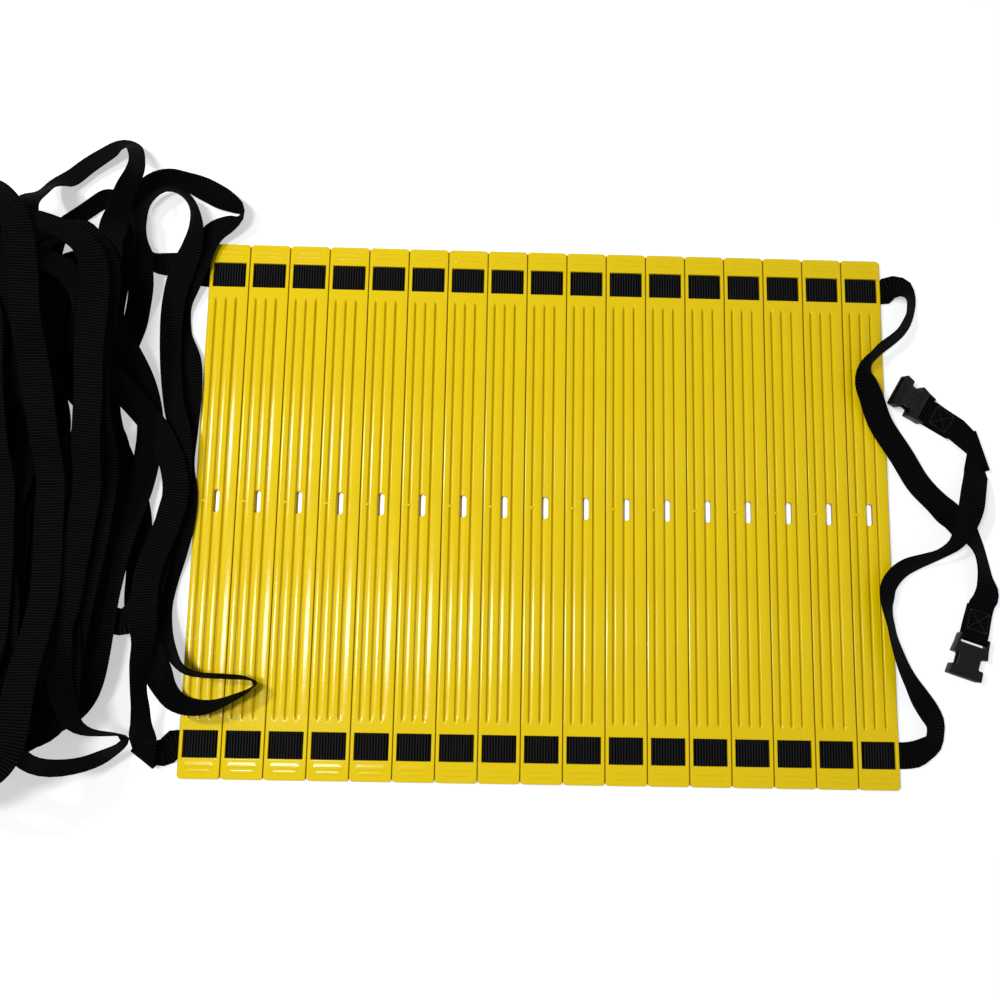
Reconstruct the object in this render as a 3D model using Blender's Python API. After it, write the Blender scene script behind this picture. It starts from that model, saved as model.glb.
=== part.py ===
"""Agility ladder, packed up: flat moulded rungs pushed together on two woven straps.

Metres, +Z up. The rungs lie side by side along X and each one is long in Y. They rest on Z = 0,
and the origin is under the middle of the pack. The far strap is the one at +Y.
"""
import math

import bmesh
import bpy
import numpy as np
from mathutils import Matrix, Vector

# Rungs
RUNG_COUNT = 17
RUNG_LENGTH = 0.420
RUNG_WIDTH = 0.0312
RUNG_THICKNESS = 0.0042
RUNG_GAP = 0.0008
RUNG_CORNER = 0.003
RUNG_EDGE = 0.0005
GROOVE_WIDTH = 0.0018
GROOVE_FLOOR = 0.0006
GROOVE_DEPTH = 0.0009
GROOVE_SPACING = 0.0081
GROOVE_SHIFT = -0.0016
GROOVE_TO_WINDOW = 0.0075
GROOVE_RAMP = 0.004
SLOT_WIDTH = 0.0052
SLOT_LENGTH = 0.0175
SLOT_SHIFT = 0.0004
NUB_RADIUS = 0.0012
NUB_HEIGHT = 0.0002

# Strap windows at the ends of a rung
TAB_LENGTH = 0.0152
SIDE_BAR = 0.0026
THREADING_SLOT = 0.005
LAND_HEIGHT = 0.0016
RIDGE_LENGTH = 0.022
RIDGE_WIDTH = 0.0014
RIDGE_CREST = 0.0006
RIDGE_HEIGHT = 0.0004
RIDGE_SPACING = 0.005
RIDGE_COUNT = 2

# Webbing
STRAP_WIDTH = 0.020
STRAP_THICKNESS = 0.0013
STRAP_CLEARANCE = 0.0003
STRAP_SIDE_PLAY = 0.0005
THREAD_INSET = 0.0006

# Buckle halves, which carry their strap bar at their own origin
BUCKLE_HEIGHT = 0.008
BUCKLE_WIDTH = 0.0260
BUCKLE_CHEEK = 0.0018
BUCKLE_CHAMFER = 0.0009
BAR_RADIUS = 0.0017
BAR_GAP = 0.0003
BAR_SLOT = 0.0062
SHOULDER_WIDTH = 0.0272
SHOULDER_END = 0.0140
WAIST_WIDTH = 0.0167
WAIST_END = 0.0230
SOCKET_END = 0.0313
SOCKET_FLOOR = 0.0100
SOCKET_WIDTH = 0.0212
SOCKET_HEIGHT = 0.0046
PLUG_BASE_END = 0.0130
TONGUE_WIDTH = 0.0052
TONGUE_END = 0.0310
ARM_THICKNESS = 0.0036
ARM_WIDTH = 0.0024
ARM_ROOT = 0.0068
ARM_SPREAD = 0.0092
ARM_END = 0.0335
LATCH_START = 0.0216
LATCH_OUT = 0.0122
ARM_GAP = 0.0003
FLOOR_GAP = 0.0003

# How the free webbing lies
FOLD_BACK = 0.026
FOLD_GAP = 0.0004
CREASE_MARGIN = 0.0035
PILE_GAP = 0.0014
PILE_CELL = 0.0025
PILE_STEP = 0.004
PILE_LAG = 0.046
PILE_EASE = 0.020
PILE_PASSES = 6
PILE_REACH = 0.700
EXIT_EASE = 0.030
EXIT_RUN = 0.004
BUCKLE_EASE = 0.006
LONGEST_RUN = 0.028
TURN_PER_RUN = 0.30
BODY_OVERRUN = 0.002
WELD = 0.000001
TWIST_LIMIT = 0.000005

# Counts and shares
CORNER_STEPS = 2
ROUND_SIDES = 12
FOLD_SIDES = 7
ACROSS_SHARES = [-0.5, -0.375, -0.25, -0.125, 0, 0.125, 0.25, 0.375, 0.5]
CURVE_STEPS = 12
LOOP_STRAIGHT_POINTS = 3
LOOP_BEND_POINTS = 3
CREASE_STEPS = 3
SLANT_SHARE = 0.02
APPROACH_SHARES = [1, 0.5, 0]
FOLD_BACK_SHARES = [0.25, 0.5, 1]
FOLD_LOW_SHARE = 0.5
SWELL_SHARE = 0.18
ROLL_CHANGE_SHARE = 0.2
LOOP_FLAT_ROLL = 7
LOOP_BEND_ROLL = 26
FLAT_ANGLE = math.radians(1)
SMOOTH_ANGLE = math.radians(30)
FOLD = None

YELLOW = (0.83, 0.69, 0.0)
BLACK_WEBBING = (0.012, 0.012, 0.014)
BLACK_PLASTIC = (0.016, 0.016, 0.018)

PITCH = RUNG_WIDTH + RUNG_GAP
PACK_HALF = ((RUNG_COUNT - 1) * PITCH + RUNG_WIDTH) / 2
WINDOW_WIDTH = RUNG_WIDTH - 2 * SIDE_BAR
WINDOW_LENGTH = STRAP_WIDTH + 2 * STRAP_SIDE_PLAY
WINDOW_Y = RUNG_LENGTH / 2 - TAB_LENGTH - WINDOW_LENGTH / 2
LAND_WIDTH = WINDOW_WIDTH - 2 * THREADING_SLOT
STRAP_LOW = STRAP_CLEARANCE + STRAP_THICKNESS / 2
STRAP_HIGH = LAND_HEIGHT + STRAP_CLEARANCE + STRAP_THICKNESS / 2
BAR_UNDERSIDE = 2 * STRAP_CLEARANCE + STRAP_THICKNESS
WRAP_RADIUS = BAR_RADIUS + BAR_GAP + STRAP_THICKNESS / 2
BAR_HEIGHT = FLOOR_GAP + BUCKLE_HEIGHT / 2
ROOT_START = PLUG_BASE_END + ARM_GAP

# Routes of the free webbing, as (x, y, roll): roll is 0 lying flat and 90 standing on edge.
# A slack strap starts at the first rung and a tail at the last one.
FAR_SLACK = [
    (-0.283, 0.191, 0), (-0.297, 0.190, 1), (-0.310, 0.190, 15), (-0.321, 0.195, 45),
    (-0.329, 0.206, 66), (-0.334, 0.221, 75), (-0.333, 0.237, 79), (-0.328, 0.251, 82),
    (-0.317, 0.260, 80), (-0.304, 0.262, 72), (-0.291, 0.258, 59), (-0.278, 0.253, 41),
    (-0.266, 0.247, 41), (-0.255, 0.242, 62), (-0.247, 0.237, 78), (-0.249, 0.230, 51),
    (-0.256, 0.225, 27), (-0.268, 0.218, 9), (-0.275, 0.208, 4), (-0.280, 0.191, 0), (-0.287, 0.172, 0),
    (-0.294, 0.154, 0), (-0.293, 0.133, 0), (-0.283, 0.110, 0), (-0.281, 0.083, 0), (-0.282, 0.055, 0),
    (-0.283, 0.027, 0), (-0.279, 0.003, 0), (-0.280, -0.020, 0), (-0.284, -0.041, 0),
    (-0.290, -0.062, 0), (-0.292, -0.083, 5), (-0.287, -0.102, 31), (-0.279, -0.117, 49),
    (-0.269, -0.129, 66), (-0.256, -0.133, 78), (-0.237, -0.134, 80), (-0.221, -0.135, 82),
    (-0.214, -0.138, 84), (-0.218, -0.143, 82), (-0.231, -0.150, 74), (-0.246, -0.156, 64),
    (-0.260, -0.157, 57), (-0.272, -0.153, 53), (-0.281, -0.142, 45), (-0.288, -0.126, 0),
    (-0.297, -0.107, 0), (-0.307, -0.082, 0), (-0.309, -0.055, 0), (-0.312, -0.026, 0),
    (-0.318, -0.001, 0), (-0.328, 0.024, 0), (-0.340, 0.050, 0), (-0.346, 0.077, 0), (-0.343, 0.103, 0),
    (-0.334, 0.126, 0), (-0.327, 0.148, 0), (-0.321, 0.167, 0), (-0.322, 0.186, 0), (-0.325, 0.205, 59),
    (-0.326, 0.228, 85), (-0.321, 0.242, 106), (-0.310, 0.251, 108), (-0.298, 0.249, 94),
    (-0.288, 0.240, 72), (-0.283, 0.223, 46), (-0.284, 0.204, 20), (-0.291, 0.181, 0),
    (-0.296, 0.158, 13), (-0.297, 0.118, 20), (-0.291, 0.077, 26), (-0.283, 0.045, 21),
    (-0.283, 0.014, 6), (-0.289, -0.017, 0), (-0.294, -0.048, 0), (-0.299, -0.077, 0),
    (-0.313, -0.095, 0), (-0.333, -0.088, 0), (-0.356, -0.056, 0), (-0.375, -0.002, 0),
    (-0.391, 0.061, 0), (-0.402, 0.134, 0), (-0.401, 0.186, 0), (-0.394, 0.209, 63),
    (-0.382, 0.223, 81), (-0.367, 0.233, 83), (-0.349, 0.236, 72), (-0.337, 0.228, 42),
    (-0.333, 0.208, 16), (-0.334, 0.182, 3), (-0.343, 0.141, 0), (-0.351, 0.078, 0),
    (-0.351, -0.002, 0), (-0.336, -0.072, 0), (-0.335, -0.113, 5), (-0.354, -0.140, 27),
    (-0.377, -0.147, 47), (-0.401, -0.131, 54), (-0.425, -0.073, 0), (-0.446, 0.036, 0),
    (-0.458, 0.132, 0), (-0.457, 0.201, 54), (-0.440, 0.226, 60), (-0.413, 0.220, 43),
    (-0.396, 0.201, 22), (-0.390, 0.175, 3), (-0.386, 0.141, 0), (-0.380, 0.101, 0),
]
NEAR_SLACK = [
    (-0.280, -0.190, 0), (-0.288, -0.192, 0), (-0.295, -0.194, 0), FOLD, (-0.295, -0.183, 0),
    (-0.293, -0.172, 51), (-0.291, -0.158, 69), (-0.293, -0.144, 75), (-0.294, -0.126, 67),
    (-0.294, -0.108, 53), (-0.297, -0.087, 0), (-0.298, -0.062, 0), (-0.293, -0.039, 0),
    (-0.287, -0.017, 0), (-0.283, 0.004, 0), (-0.287, 0.027, 0), (-0.299, 0.050, 0), (-0.314, 0.069, 0),
    (-0.329, 0.086, 0), (-0.339, 0.103, 0), (-0.342, 0.122, 0), (-0.339, 0.140, 0), (-0.334, 0.157, 0),
    (-0.333, 0.174, 0), (-0.334, 0.194, 0), (-0.333, 0.212, 61), (-0.329, 0.229, 69),
    (-0.324, 0.246, 74), (-0.326, 0.266, 71), (-0.334, 0.282, 55), (-0.348, 0.288, 32),
    (-0.363, 0.281, 24), (-0.381, 0.268, 19), (-0.394, 0.252, 17), (-0.392, 0.228, 15),
    (-0.393, 0.211, 4), (-0.389, 0.188, 0), (-0.386, 0.156, 0), (-0.391, 0.111, 0),
]
NEAR_CURL = [
    (-0.392, -0.051, 0), (-0.382, -0.089, 0), (-0.379, -0.121, 4), (-0.369, -0.152, 17),
    (-0.364, -0.172, 29), (-0.355, -0.187, 36), (-0.343, -0.196, 45), (-0.330, -0.197, 57),
    (-0.314, -0.190, 70), (-0.301, -0.182, 86), (-0.299, -0.177, 98), (-0.308, -0.175, 90),
    (-0.320, -0.173, 84), (-0.328, -0.168, 78), (-0.336, -0.153, 64), (-0.342, -0.132, 50),
    (-0.346, -0.102, 0),
]
FAR_TAIL = [
    (0.280, 0.188, 0), (0.288, 0.186, -3), (0.292, 0.181, -30), (0.294, 0.174, -48),
    (0.293, 0.166, -54), (0.291, 0.159, -58), (0.286, 0.151, -61), (0.280, 0.144, -67),
    (0.273, 0.138, -69), (0.264, 0.131, -67), (0.257, 0.123, -64), (0.253, 0.116, -43),
    (0.253, 0.105, -13), (0.259, 0.091, 0), (0.267, 0.072, 0), (0.280, 0.051, 0), (0.295, 0.027, 0),
    (0.310, 0.008, 0), (0.323, -0.005, 47), (0.333, -0.015, -21), (0.339, -0.026, -40),
    (0.342, -0.039, -40), (0.343, -0.050, -30), (0.344, -0.059, -9),
]
NEAR_TAIL = [
    (0.284, -0.183, 0), (0.291, -0.179, 18), (0.297, -0.174, 27), (0.299, -0.167, 30),
    (0.299, -0.159, 26), (0.294, -0.150, 20), (0.288, -0.141, 24), (0.281, -0.129, 38),
    (0.275, -0.118, 44), (0.270, -0.106, 49), (0.267, -0.096, 53), (0.265, -0.085, 54),
    (0.263, -0.075, 50), (0.263, -0.065, 38), (0.265, -0.056, 36), (0.271, -0.048, 39),
    (0.279, -0.042, 46), (0.291, -0.037, 58), (0.301, -0.033, 64), (0.310, -0.027, 56),
    (0.316, -0.021, 38), (0.323, -0.010, 20), (0.329, 0.005, 0), (0.333, 0.019, 0), (0.342, 0.038, 0),
    (0.346, 0.053, 0), FOLD, (0.337, 0.0615, 0),
]

# The loose loops of each slack strap: their middle, half width, half height, how far the middle
# drifts from the first to the last, and how far each loop strays
FAR_INNER = ((-0.380, -0.005), 0.036, 0.165, (0.020, 0.010), (0.015, 0.010))
FAR_OUTER = ((-0.400, 0.010), 0.036, 0.176, (-0.080, 0.010), (0.012, 0.010))
NEAR_INNER = ((-0.384, -0.004), 0.030, 0.172, (-0.030, 0.010), (0.022, 0.010))
NEAR_OUTER = ((-0.425, -0.006), 0.036, 0.196, (-0.090, 0.000), (0.012, 0.012))

# How many loops there are, the quarter of a loop that they begin at, and the way that they turn
FAR_INNER_COUNTS = (2, 2, -1)
FAR_OUTER_COUNTS = (3.75, 2, -1)
NEAR_INNER_COUNTS = (3, 2, 1)
NEAR_OUTER_COUNTS = (3.75, 0, 1)

# Where the strap bars lie, the way each buckle points, and how far its free end is propped up
BARS = {
    "far_tail": ((0.333, -0.095), -108, 0),
    "near_tail": ((0.304, 0.085), 150, 18),
    "far_slack": ((-0.600, 0.165), 115, 0),
    "near_slack": ((-0.588, -0.175), -120, 0),
}


def start_clean():
    for old in list(bpy.data.objects):
        bpy.data.objects.remove(old)
    for old in list(bpy.data.collections):
        bpy.data.collections.remove(old)


def new_collection(name):
    made = bpy.data.collections.new(name)
    bpy.context.scene.collection.children.link(made)
    return made


def material(name, colour, roughness):
    made = bpy.data.materials.new(name)
    made.use_nodes = True
    shader = made.node_tree.nodes["Principled BSDF"]
    shader.inputs["Base Color"].default_value = (*colour, 1)
    shader.inputs["Roughness"].default_value = roughness
    shader.inputs["Metallic"].default_value = 0
    made.diffuse_color = (*colour, 1)
    return made


def add(name, mesh, collection, paint=None):
    made = bpy.data.objects.new(name, mesh)
    collection.objects.link(made)
    if paint:
        mesh.materials.clear()
        mesh.materials.append(paint)
    return made


def scratch(name, mesh):
    """A cutter or a shape that is joined on, which isn't a part itself."""
    made = add(name, mesh, CUTTERS)
    made.hide_render = True
    made.display_type = "WIRE"
    return made


def block(low, high):
    """A box between two corners, as a mesh."""
    bm = bmesh.new()
    low, high = Vector(low), Vector(high)
    size = Matrix.Diagonal((*(high - low), 1))
    bmesh.ops.create_cube(bm, size=1, matrix=Matrix.Translation((low + high) / 2) @ size)
    mesh = bpy.data.meshes.new("block")
    bm.to_mesh(mesh)
    bm.free()
    return mesh


def taper(mesh, middle, shares, top):
    """Draws in the top or the bottom of a block towards its middle."""
    level = max(v.co.z for v in mesh.vertices) if top else min(v.co.z for v in mesh.vertices)
    for v in mesh.vertices:
        if v.co.z == level:
            v.co.x = middle[0] + (v.co.x - middle[0]) * shares[0]
            v.co.y = middle[1] + (v.co.y - middle[1]) * shares[1]
    return mesh


def drum(radius, low, high, middle, axis="Z"):
    """A round bar between two levels of an axis, as a mesh."""
    bm = bmesh.new()
    turn = {"Z": Matrix(), "Y": Matrix.Rotation(-math.pi / 2, 4, "X")}[axis]
    bmesh.ops.create_cone(
        bm, cap_ends=True, segments=ROUND_SIDES, radius1=radius, radius2=radius, depth=high - low,
        matrix=Matrix.Translation(middle) @ turn @ Matrix.Translation((0, 0, (low + high) / 2)),
    )
    mesh = bpy.data.meshes.new("drum")
    bm.to_mesh(mesh)
    bm.free()
    return mesh


def slab(points, low, high, chamfer=0, both_rims=True):
    """A flat outline between two heights, with its rims or its upper rim chamfered, as a mesh."""
    curve = bpy.data.curves.new("outline", "CURVE")
    curve.dimensions = "2D"
    curve.fill_mode = "BOTH"
    curve.extrude = (high - low) / 2
    spline = curve.splines.new("POLY")
    spline.points.add(len(points) - 1)
    for point, (x, y) in zip(spline.points, points):
        point.co = (x, y, 0, 1)
    spline.use_cyclic_u = True
    guide = bpy.data.objects.new("outline", curve)
    CUTTERS.objects.link(guide)
    bpy.context.view_layer.update()
    mesh = bpy.data.meshes.new_from_object(guide.evaluated_get(bpy.context.evaluated_depsgraph_get()))
    bpy.data.objects.remove(guide)
    bm = bmesh.new()
    bm.from_mesh(mesh)
    bmesh.ops.remove_doubles(bm, verts=bm.verts, dist=WELD)
    bmesh.ops.dissolve_limit(bm, angle_limit=FLAT_ANGLE, verts=bm.verts, edges=bm.edges)
    bmesh.ops.translate(bm, verts=bm.verts, vec=(0, 0, (low + high) / 2))
    if chamfer:
        rims = [e for e in bm.edges if abs(e.verts[0].co.z - e.verts[1].co.z) < WELD]
        rims = [e for e in rims if both_rims or e.verts[0].co.z > (low + high) / 2]
        bmesh.ops.bevel(bm, geom=rims, offset=chamfer, segments=1, affect="EDGES")
    bmesh.ops.recalc_face_normals(bm, faces=bm.faces)
    bm.to_mesh(mesh)
    bm.free()
    return mesh


def combine(body, other, operation):
    """Adds an exact Boolean to an object, with a mesh as its other side."""
    change = body.modifiers.new(operation.title(), "BOOLEAN")
    change.operation = operation
    change.solver = "EXACT"
    change.object = scratch("cutter", other)


def settled(obj):
    """The mesh of an object with its modifiers worked out, and the object taken away."""
    bpy.context.view_layer.update()
    mesh = bpy.data.meshes.new_from_object(obj.evaluated_get(bpy.context.evaluated_depsgraph_get()))
    bpy.data.objects.remove(obj)
    return mesh


def rounded(half_x, half_y, radius):
    """Corner points of a rectangle with round corners, anticlockwise."""
    points = []
    for quarter, (sx, sy) in enumerate([(1, 1), (-1, 1), (-1, -1), (1, -1)]):
        for step in range(CORNER_STEPS + 1):
            angle = math.pi / 2 * (quarter + step / CORNER_STEPS)
            x = sx * (half_x - radius) + radius * math.cos(angle)
            y = sy * (half_y - radius) + radius * math.sin(angle)
            if not points or math.dist(points[-1], (x, y)) > WELD:
                points.append((x, y))
    return points if math.dist(points[0], points[-1]) > WELD else points[:-1]


def rung_mesh():
    """One rung about its own middle: grooved band, centre slot, and a strap window at each end."""
    half_width, half_length = RUNG_WIDTH / 2, RUNG_LENGTH / 2
    top, over = RUNG_THICKNESS, BODY_OVERRUN
    outline = rounded(half_width, half_length, RUNG_CORNER)
    rung = scratch("rung", slab(outline, 0, top, RUNG_EDGE, both_rims=False))

    groove_end = WINDOW_Y - WINDOW_LENGTH / 2 - GROOVE_TO_WINDOW
    for place in (-1, 0, 1):
        x = GROOVE_SHIFT + place * GROOVE_SPACING
        widen = 1 + (1 - GROOVE_FLOOR / GROOVE_WIDTH) * over / GROOVE_DEPTH
        lengthen = 1 + GROOVE_RAMP * over / GROOVE_DEPTH / groove_end
        half = GROOVE_WIDTH / 2 * widen
        reach = groove_end * lengthen
        cutter = block((x - half, -reach, top - GROOVE_DEPTH), (x + half, reach, top + over))
        shares = (GROOVE_FLOOR / 2 / half, (groove_end - GROOVE_RAMP) / reach)
        combine(rung, taper(cutter, (x, 0), shares, top=False), "DIFFERENCE")

    slot = rounded(SLOT_WIDTH / 2, SLOT_LENGTH / 2, SLOT_WIDTH / 2)
    slot = [(x + SLOT_SHIFT, y) for x, y in slot]
    combine(rung, slab(slot, -over, top + over), "DIFFERENCE")

    for end in (-1, 1):
        low, high = sorted((end * (WINDOW_Y - WINDOW_LENGTH / 2), end * (WINDOW_Y + WINDOW_LENGTH / 2)))
        window = WINDOW_WIDTH / 2
        land = LAND_WIDTH / 2
        combine(rung, block((-window, low, LAND_HEIGHT), (window, high, top + over)), "DIFFERENCE")
        for side in (-1, 1):
            inner, outer = sorted((side * land, side * window))
            combine(rung, block((inner, low, -over), (outer, high, top)), "DIFFERENCE")
            inner, outer = sorted((side * (land + window) / 2, side * (half_width + over)))
            combine(rung, block((inner, low, -over), (outer, high, BAR_UNDERSIDE)), "DIFFERENCE")
        for number in range(RIDGE_COUNT):
            from_middle = (number - (RIDGE_COUNT - 1) / 2) * RIDGE_SPACING
            y = end * (half_length - TAB_LENGTH / 2) + from_middle
            ridge = block(
                (-RIDGE_LENGTH / 2, y - RIDGE_WIDTH / 2, top - RIDGE_HEIGHT),
                (RIDGE_LENGTH / 2, y + RIDGE_WIDTH / 2, top + RIDGE_HEIGHT),
            )
            shares = (1 - RIDGE_WIDTH / RIDGE_LENGTH, RIDGE_CREST / RIDGE_WIDTH)
            combine(rung, taper(ridge, (0, y), shares, top=True), "UNION")

    nub_x = GROOVE_SHIFT - GROOVE_SPACING
    nub = drum(NUB_RADIUS, top - GROOVE_DEPTH - NUB_HEIGHT, top + NUB_HEIGHT, (nub_x, 0, 0))
    combine(rung, nub, "UNION")
    return settled(rung)


def rung_x(number):
    """The middle of a rung, counted from 0 at -X."""
    return (number - (RUNG_COUNT - 1) / 2) * PITCH


def frames_of(line, rolls):
    """Side and face directions of a strap at each point of its centreline."""
    ahead = np.gradient(line, axis=0)
    ahead /= np.linalg.norm(ahead, axis=1)[:, None]
    side = np.column_stack([-ahead[:, 1], ahead[:, 0], np.zeros(len(ahead))])
    side /= np.linalg.norm(side, axis=1)[:, None]
    turn = np.radians(rolls)[:, None]
    width_way = np.cos(turn) * side + np.sin(turn) * np.array([0, 0, 1])
    face_way = np.cross(ahead, width_way)
    face_way /= np.linalg.norm(face_way, axis=1)[:, None]
    return width_way, face_way


def off_flat(face):
    """How far the last corner of a face with four lies from the plane of the others."""
    first, second, third, last = [v.co for v in face.verts]
    upright = (second - first).cross(third - first).normalized()
    return abs(upright.dot(last - first))


def ribbon(line, width_way, face_way, width=STRAP_WIDTH):
    """A strap as a closed mesh, lofted square section by section along its centreline."""
    half_w, half_t = width / 2, STRAP_THICKNESS / 2
    corners = [(-1, -1), (1, -1), (1, 1), (-1, 1)]
    bm = bmesh.new()
    rings = []
    for middle, wide, face in zip(line, width_way, face_way):
        rings.append([bm.verts.new(middle + a * half_w * wide + b * half_t * face) for a, b in corners])
    for ring, following in zip(rings, rings[1:]):
        for k in range(4):
            bm.faces.new((ring[k], ring[(k + 1) % 4], following[(k + 1) % 4], following[k]))
    bm.faces.new(rings[0][::-1])
    bm.faces.new(rings[-1])
    bmesh.ops.recalc_face_normals(bm, faces=bm.faces)
    twisted = [f for f in bm.faces if off_flat(f) > TWIST_LIMIT]
    bmesh.ops.triangulate(bm, faces=twisted, quad_method="SHORT_EDGE")
    mesh = bpy.data.meshes.new("ribbon")
    bm.to_mesh(mesh)
    bm.free()
    return mesh


def run_mesh(y):
    """The strap where it is threaded through all the rungs: under each side bar, over each land."""
    land, window = LAND_WIDTH / 2, WINDOW_WIDTH / 2
    line = [(-PACK_HALF, y, STRAP_LOW)]
    for number in range(RUNG_COUNT):
        x = rung_x(number)
        for offset, height in (
            (-window + THREAD_INSET, STRAP_LOW), (-land - THREAD_INSET, STRAP_HIGH),
            (land + THREAD_INSET, STRAP_HIGH), (window - THREAD_INSET, STRAP_LOW),
        ):
            line.append((x + offset, y, height))
    line.append((PACK_HALF, y, STRAP_LOW))
    line = np.array(line)
    return ribbon(line, *frames_of(line, np.zeros(len(line))))


def smooth_route(points):
    """Even samples (x, y, roll) of a smooth curve through the points of a route."""
    points = np.array(points, dtype=float)
    ends = np.vstack([2 * points[0] - points[1], points, 2 * points[-1] - points[-2]])
    fine = []
    for a, b, c, d in zip(ends, ends[1:], ends[2:], ends[3:]):
        ab, bc, cd = (math.sqrt(max(math.dist(p[:2], q[:2]), WELD)) for p, q in ((a, b), (b, c), (c, d)))
        leave = c - b + bc * ((b - a) / ab - (c - a) / (ab + bc))
        arrive = c - b + bc * ((d - c) / cd - (d - b) / (bc + cd))
        for step in range(CURVE_STEPS):
            t = step / CURVE_STEPS
            fine.append(
                (2 * t**3 - 3 * t**2 + 1) * b + (t**3 - 2 * t**2 + t) * leave
                + (3 * t**2 - 2 * t**3) * c + (t**3 - t**2) * arrive
            )
    fine = np.array([*fine, points[-1]])
    along = np.concatenate([[0], np.cumsum(np.linalg.norm(np.diff(fine[:, :2], axis=0), axis=1))])
    even = np.linspace(0, along[-1], round(along[-1] / PILE_STEP) + 1)
    return np.column_stack([np.interp(even, along, column) for column in fine.T])


class Pile:
    """The height of what already lies on the ground, in small square cells."""

    def __init__(self):
        self.count = round(2 * PILE_REACH / PILE_CELL)
        self.top = np.zeros(self.count * self.count)
        centre = (np.arange(self.count) + 0.5) * PILE_CELL - PILE_REACH
        x, y = np.meshgrid(centre, centre, indexing="ij")
        pack = (abs(x) < PACK_HALF) & (abs(y) < RUNG_LENGTH / 2)
        self.top[pack.ravel()] = RUNG_THICKNESS + RIDGE_HEIGHT

    def cells(self, x, y):
        column = ((np.stack([x, y]) + PILE_REACH) / PILE_CELL).astype(int).clip(1, self.count - 2)
        return column[0] * self.count + column[1]

    def cover(self, cells, heights):
        """Raises the cells and their neighbours to at least the heights."""
        for across in (-self.count, 0, self.count):
            for along in (-1, 0, 1):
                np.maximum.at(self.top, cells + across + along, heights)


def eased(heights, reach):
    """A smooth line that is nowhere below the heights."""
    raised = np.array([heights[max(0, i - reach):i + reach + 1].max() for i in range(len(heights))])
    weights = np.hanning(2 * reach + 3)[1:-1]
    padded = np.pad(raised, reach, mode="edge")
    return np.convolve(padded, weights / weights.sum(), mode="valid")


def laid(piece, pile, start_height, end_heights=None):
    """A strap's centreline over what lies there already, later turns over earlier ones.

    It starts at start_height, or on top of the pile where that is None. end_heights gives, for
    the distance to the far end, the height that the strap holds there.
    """
    samples = smooth_route(piece)
    count = len(samples)
    ahead = np.gradient(samples[:, :2], axis=0)
    ahead /= np.linalg.norm(ahead, axis=1)[:, None]
    turn = np.radians(samples[:, 2])[:, None]
    across = np.array(ACROSS_SHARES)[None, :] * STRAP_WIDTH
    sideways, rise = across * np.cos(turn), across * np.sin(turn)
    half = STRAP_THICKNESS / 2 * abs(np.cos(turn))
    cells = pile.cells(
        samples[:, :1] - sideways * ahead[:, 1:], samples[:, 1:2] + sideways * ahead[:, :1]
    )
    step = math.dist(samples[0, :2], samples[1, :2])
    lag, reach = round(PILE_LAG / step), round(PILE_EASE / step)
    start = np.clip(np.arange(count) * step / EXIT_EASE, 0, 1)
    start = start**2 * (3 - 2 * start)
    heights = np.zeros(count)
    base = pile.top.copy()
    for _ in range(PILE_PASSES):
        pile.top = base.copy()
        need = np.zeros(count)
        for i in range(count):
            if i >= lag:
                j = i - lag
                pile.cover(cells[j], max(heights[j], need[j]) + rise[j] + half[j])
            need[i] = (pile.top[cells[i]] - rise[i]).max() + half[i, 0] + PILE_GAP
        heights = eased(need, reach)
        if start_height is not None:
            heights = start_height * (1 - start) + heights * start
        if end_heights:
            left = (count - 1 - np.arange(count)) * step
            held, share = end_heights(left)
            heights = held * share + heights * (1 - share)
    for j in range(count):
        pile.cover(cells[j], heights[j] + rise[j] + half[j])
    return np.column_stack([samples[:, :2], heights]), samples[:, 2]


def at_buckle(left):
    """Height of a strap that runs up to its buckle, and how firmly it is held there, 0 to 1."""
    flat = FLOOR_GAP + STRAP_THICKNESS * 1.5 + 2 * FOLD_GAP
    top = BAR_HEIGHT + WRAP_RADIUS
    rise = np.clip(1 - left / FOLD_BACK, 0, 1)
    held = flat + (top - flat) * rise**2 * (3 - 2 * rise)
    share = np.clip((FOLD_BACK + BUCKLE_EASE - left) / BUCKLE_EASE, 0, 1)
    return held, share**2 * (3 - 2 * share)


def fold_back(bar, heading):
    """Centreline of the strap's end round a buckle's bar and back under itself, with its sides."""
    way = np.array([math.cos(heading), math.sin(heading), 0])
    middle = np.array([*bar, BAR_HEIGHT])
    up = np.array([0, 0, 1])
    line = []
    for step in range(FOLD_SIDES + 1):
        angle = math.pi / 2 - math.pi * step / FOLD_SIDES
        line.append(middle + WRAP_RADIUS * (math.cos(angle) * way + math.sin(angle) * up))
    low = FLOOR_GAP + STRAP_THICKNESS / 2
    under = BAR_HEIGHT - WRAP_RADIUS
    for share in FOLD_BACK_SHARES:
        back = middle - FOLD_BACK * share * way
        ease = min(share / FOLD_LOW_SHARE, 1)
        back[2] = under + (low - under) * ease
        line.append(back)
    return np.array(line)


def round_crease(before, after, flip):
    """Sections of a strap folded flat over itself, and the length of strap that they need."""
    ways = []
    for ahead in (before[-1] - before[-2], after[1] - after[0]):
        ahead[2] = 0
        ways.append(ahead / np.linalg.norm(ahead))
    crease = ways[0] + ways[1]
    crease /= np.linalg.norm(crease)
    outward = ways[0] - ways[1]
    outward /= np.linalg.norm(outward)
    up = np.array([0, 0, 1])
    slant = float(crease @ np.cross(up, ways[0]))
    radius = (after[0, 2] - before[-1, 2]) / 2
    sections = []
    for step in range(CREASE_STEPS + 1):
        angle = math.pi * step / CREASE_STEPS
        middle = before[-1] + radius * (math.sin(angle) * outward + (1 - math.cos(angle)) * up)
        face = flip * (math.cos(angle) * up - math.sin(angle) * outward)
        sections.append((middle, flip * crease / slant, face))
    return sections, STRAP_WIDTH / 2 * float(crease @ ways[0]) / abs(slant) + CREASE_MARGIN


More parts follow.
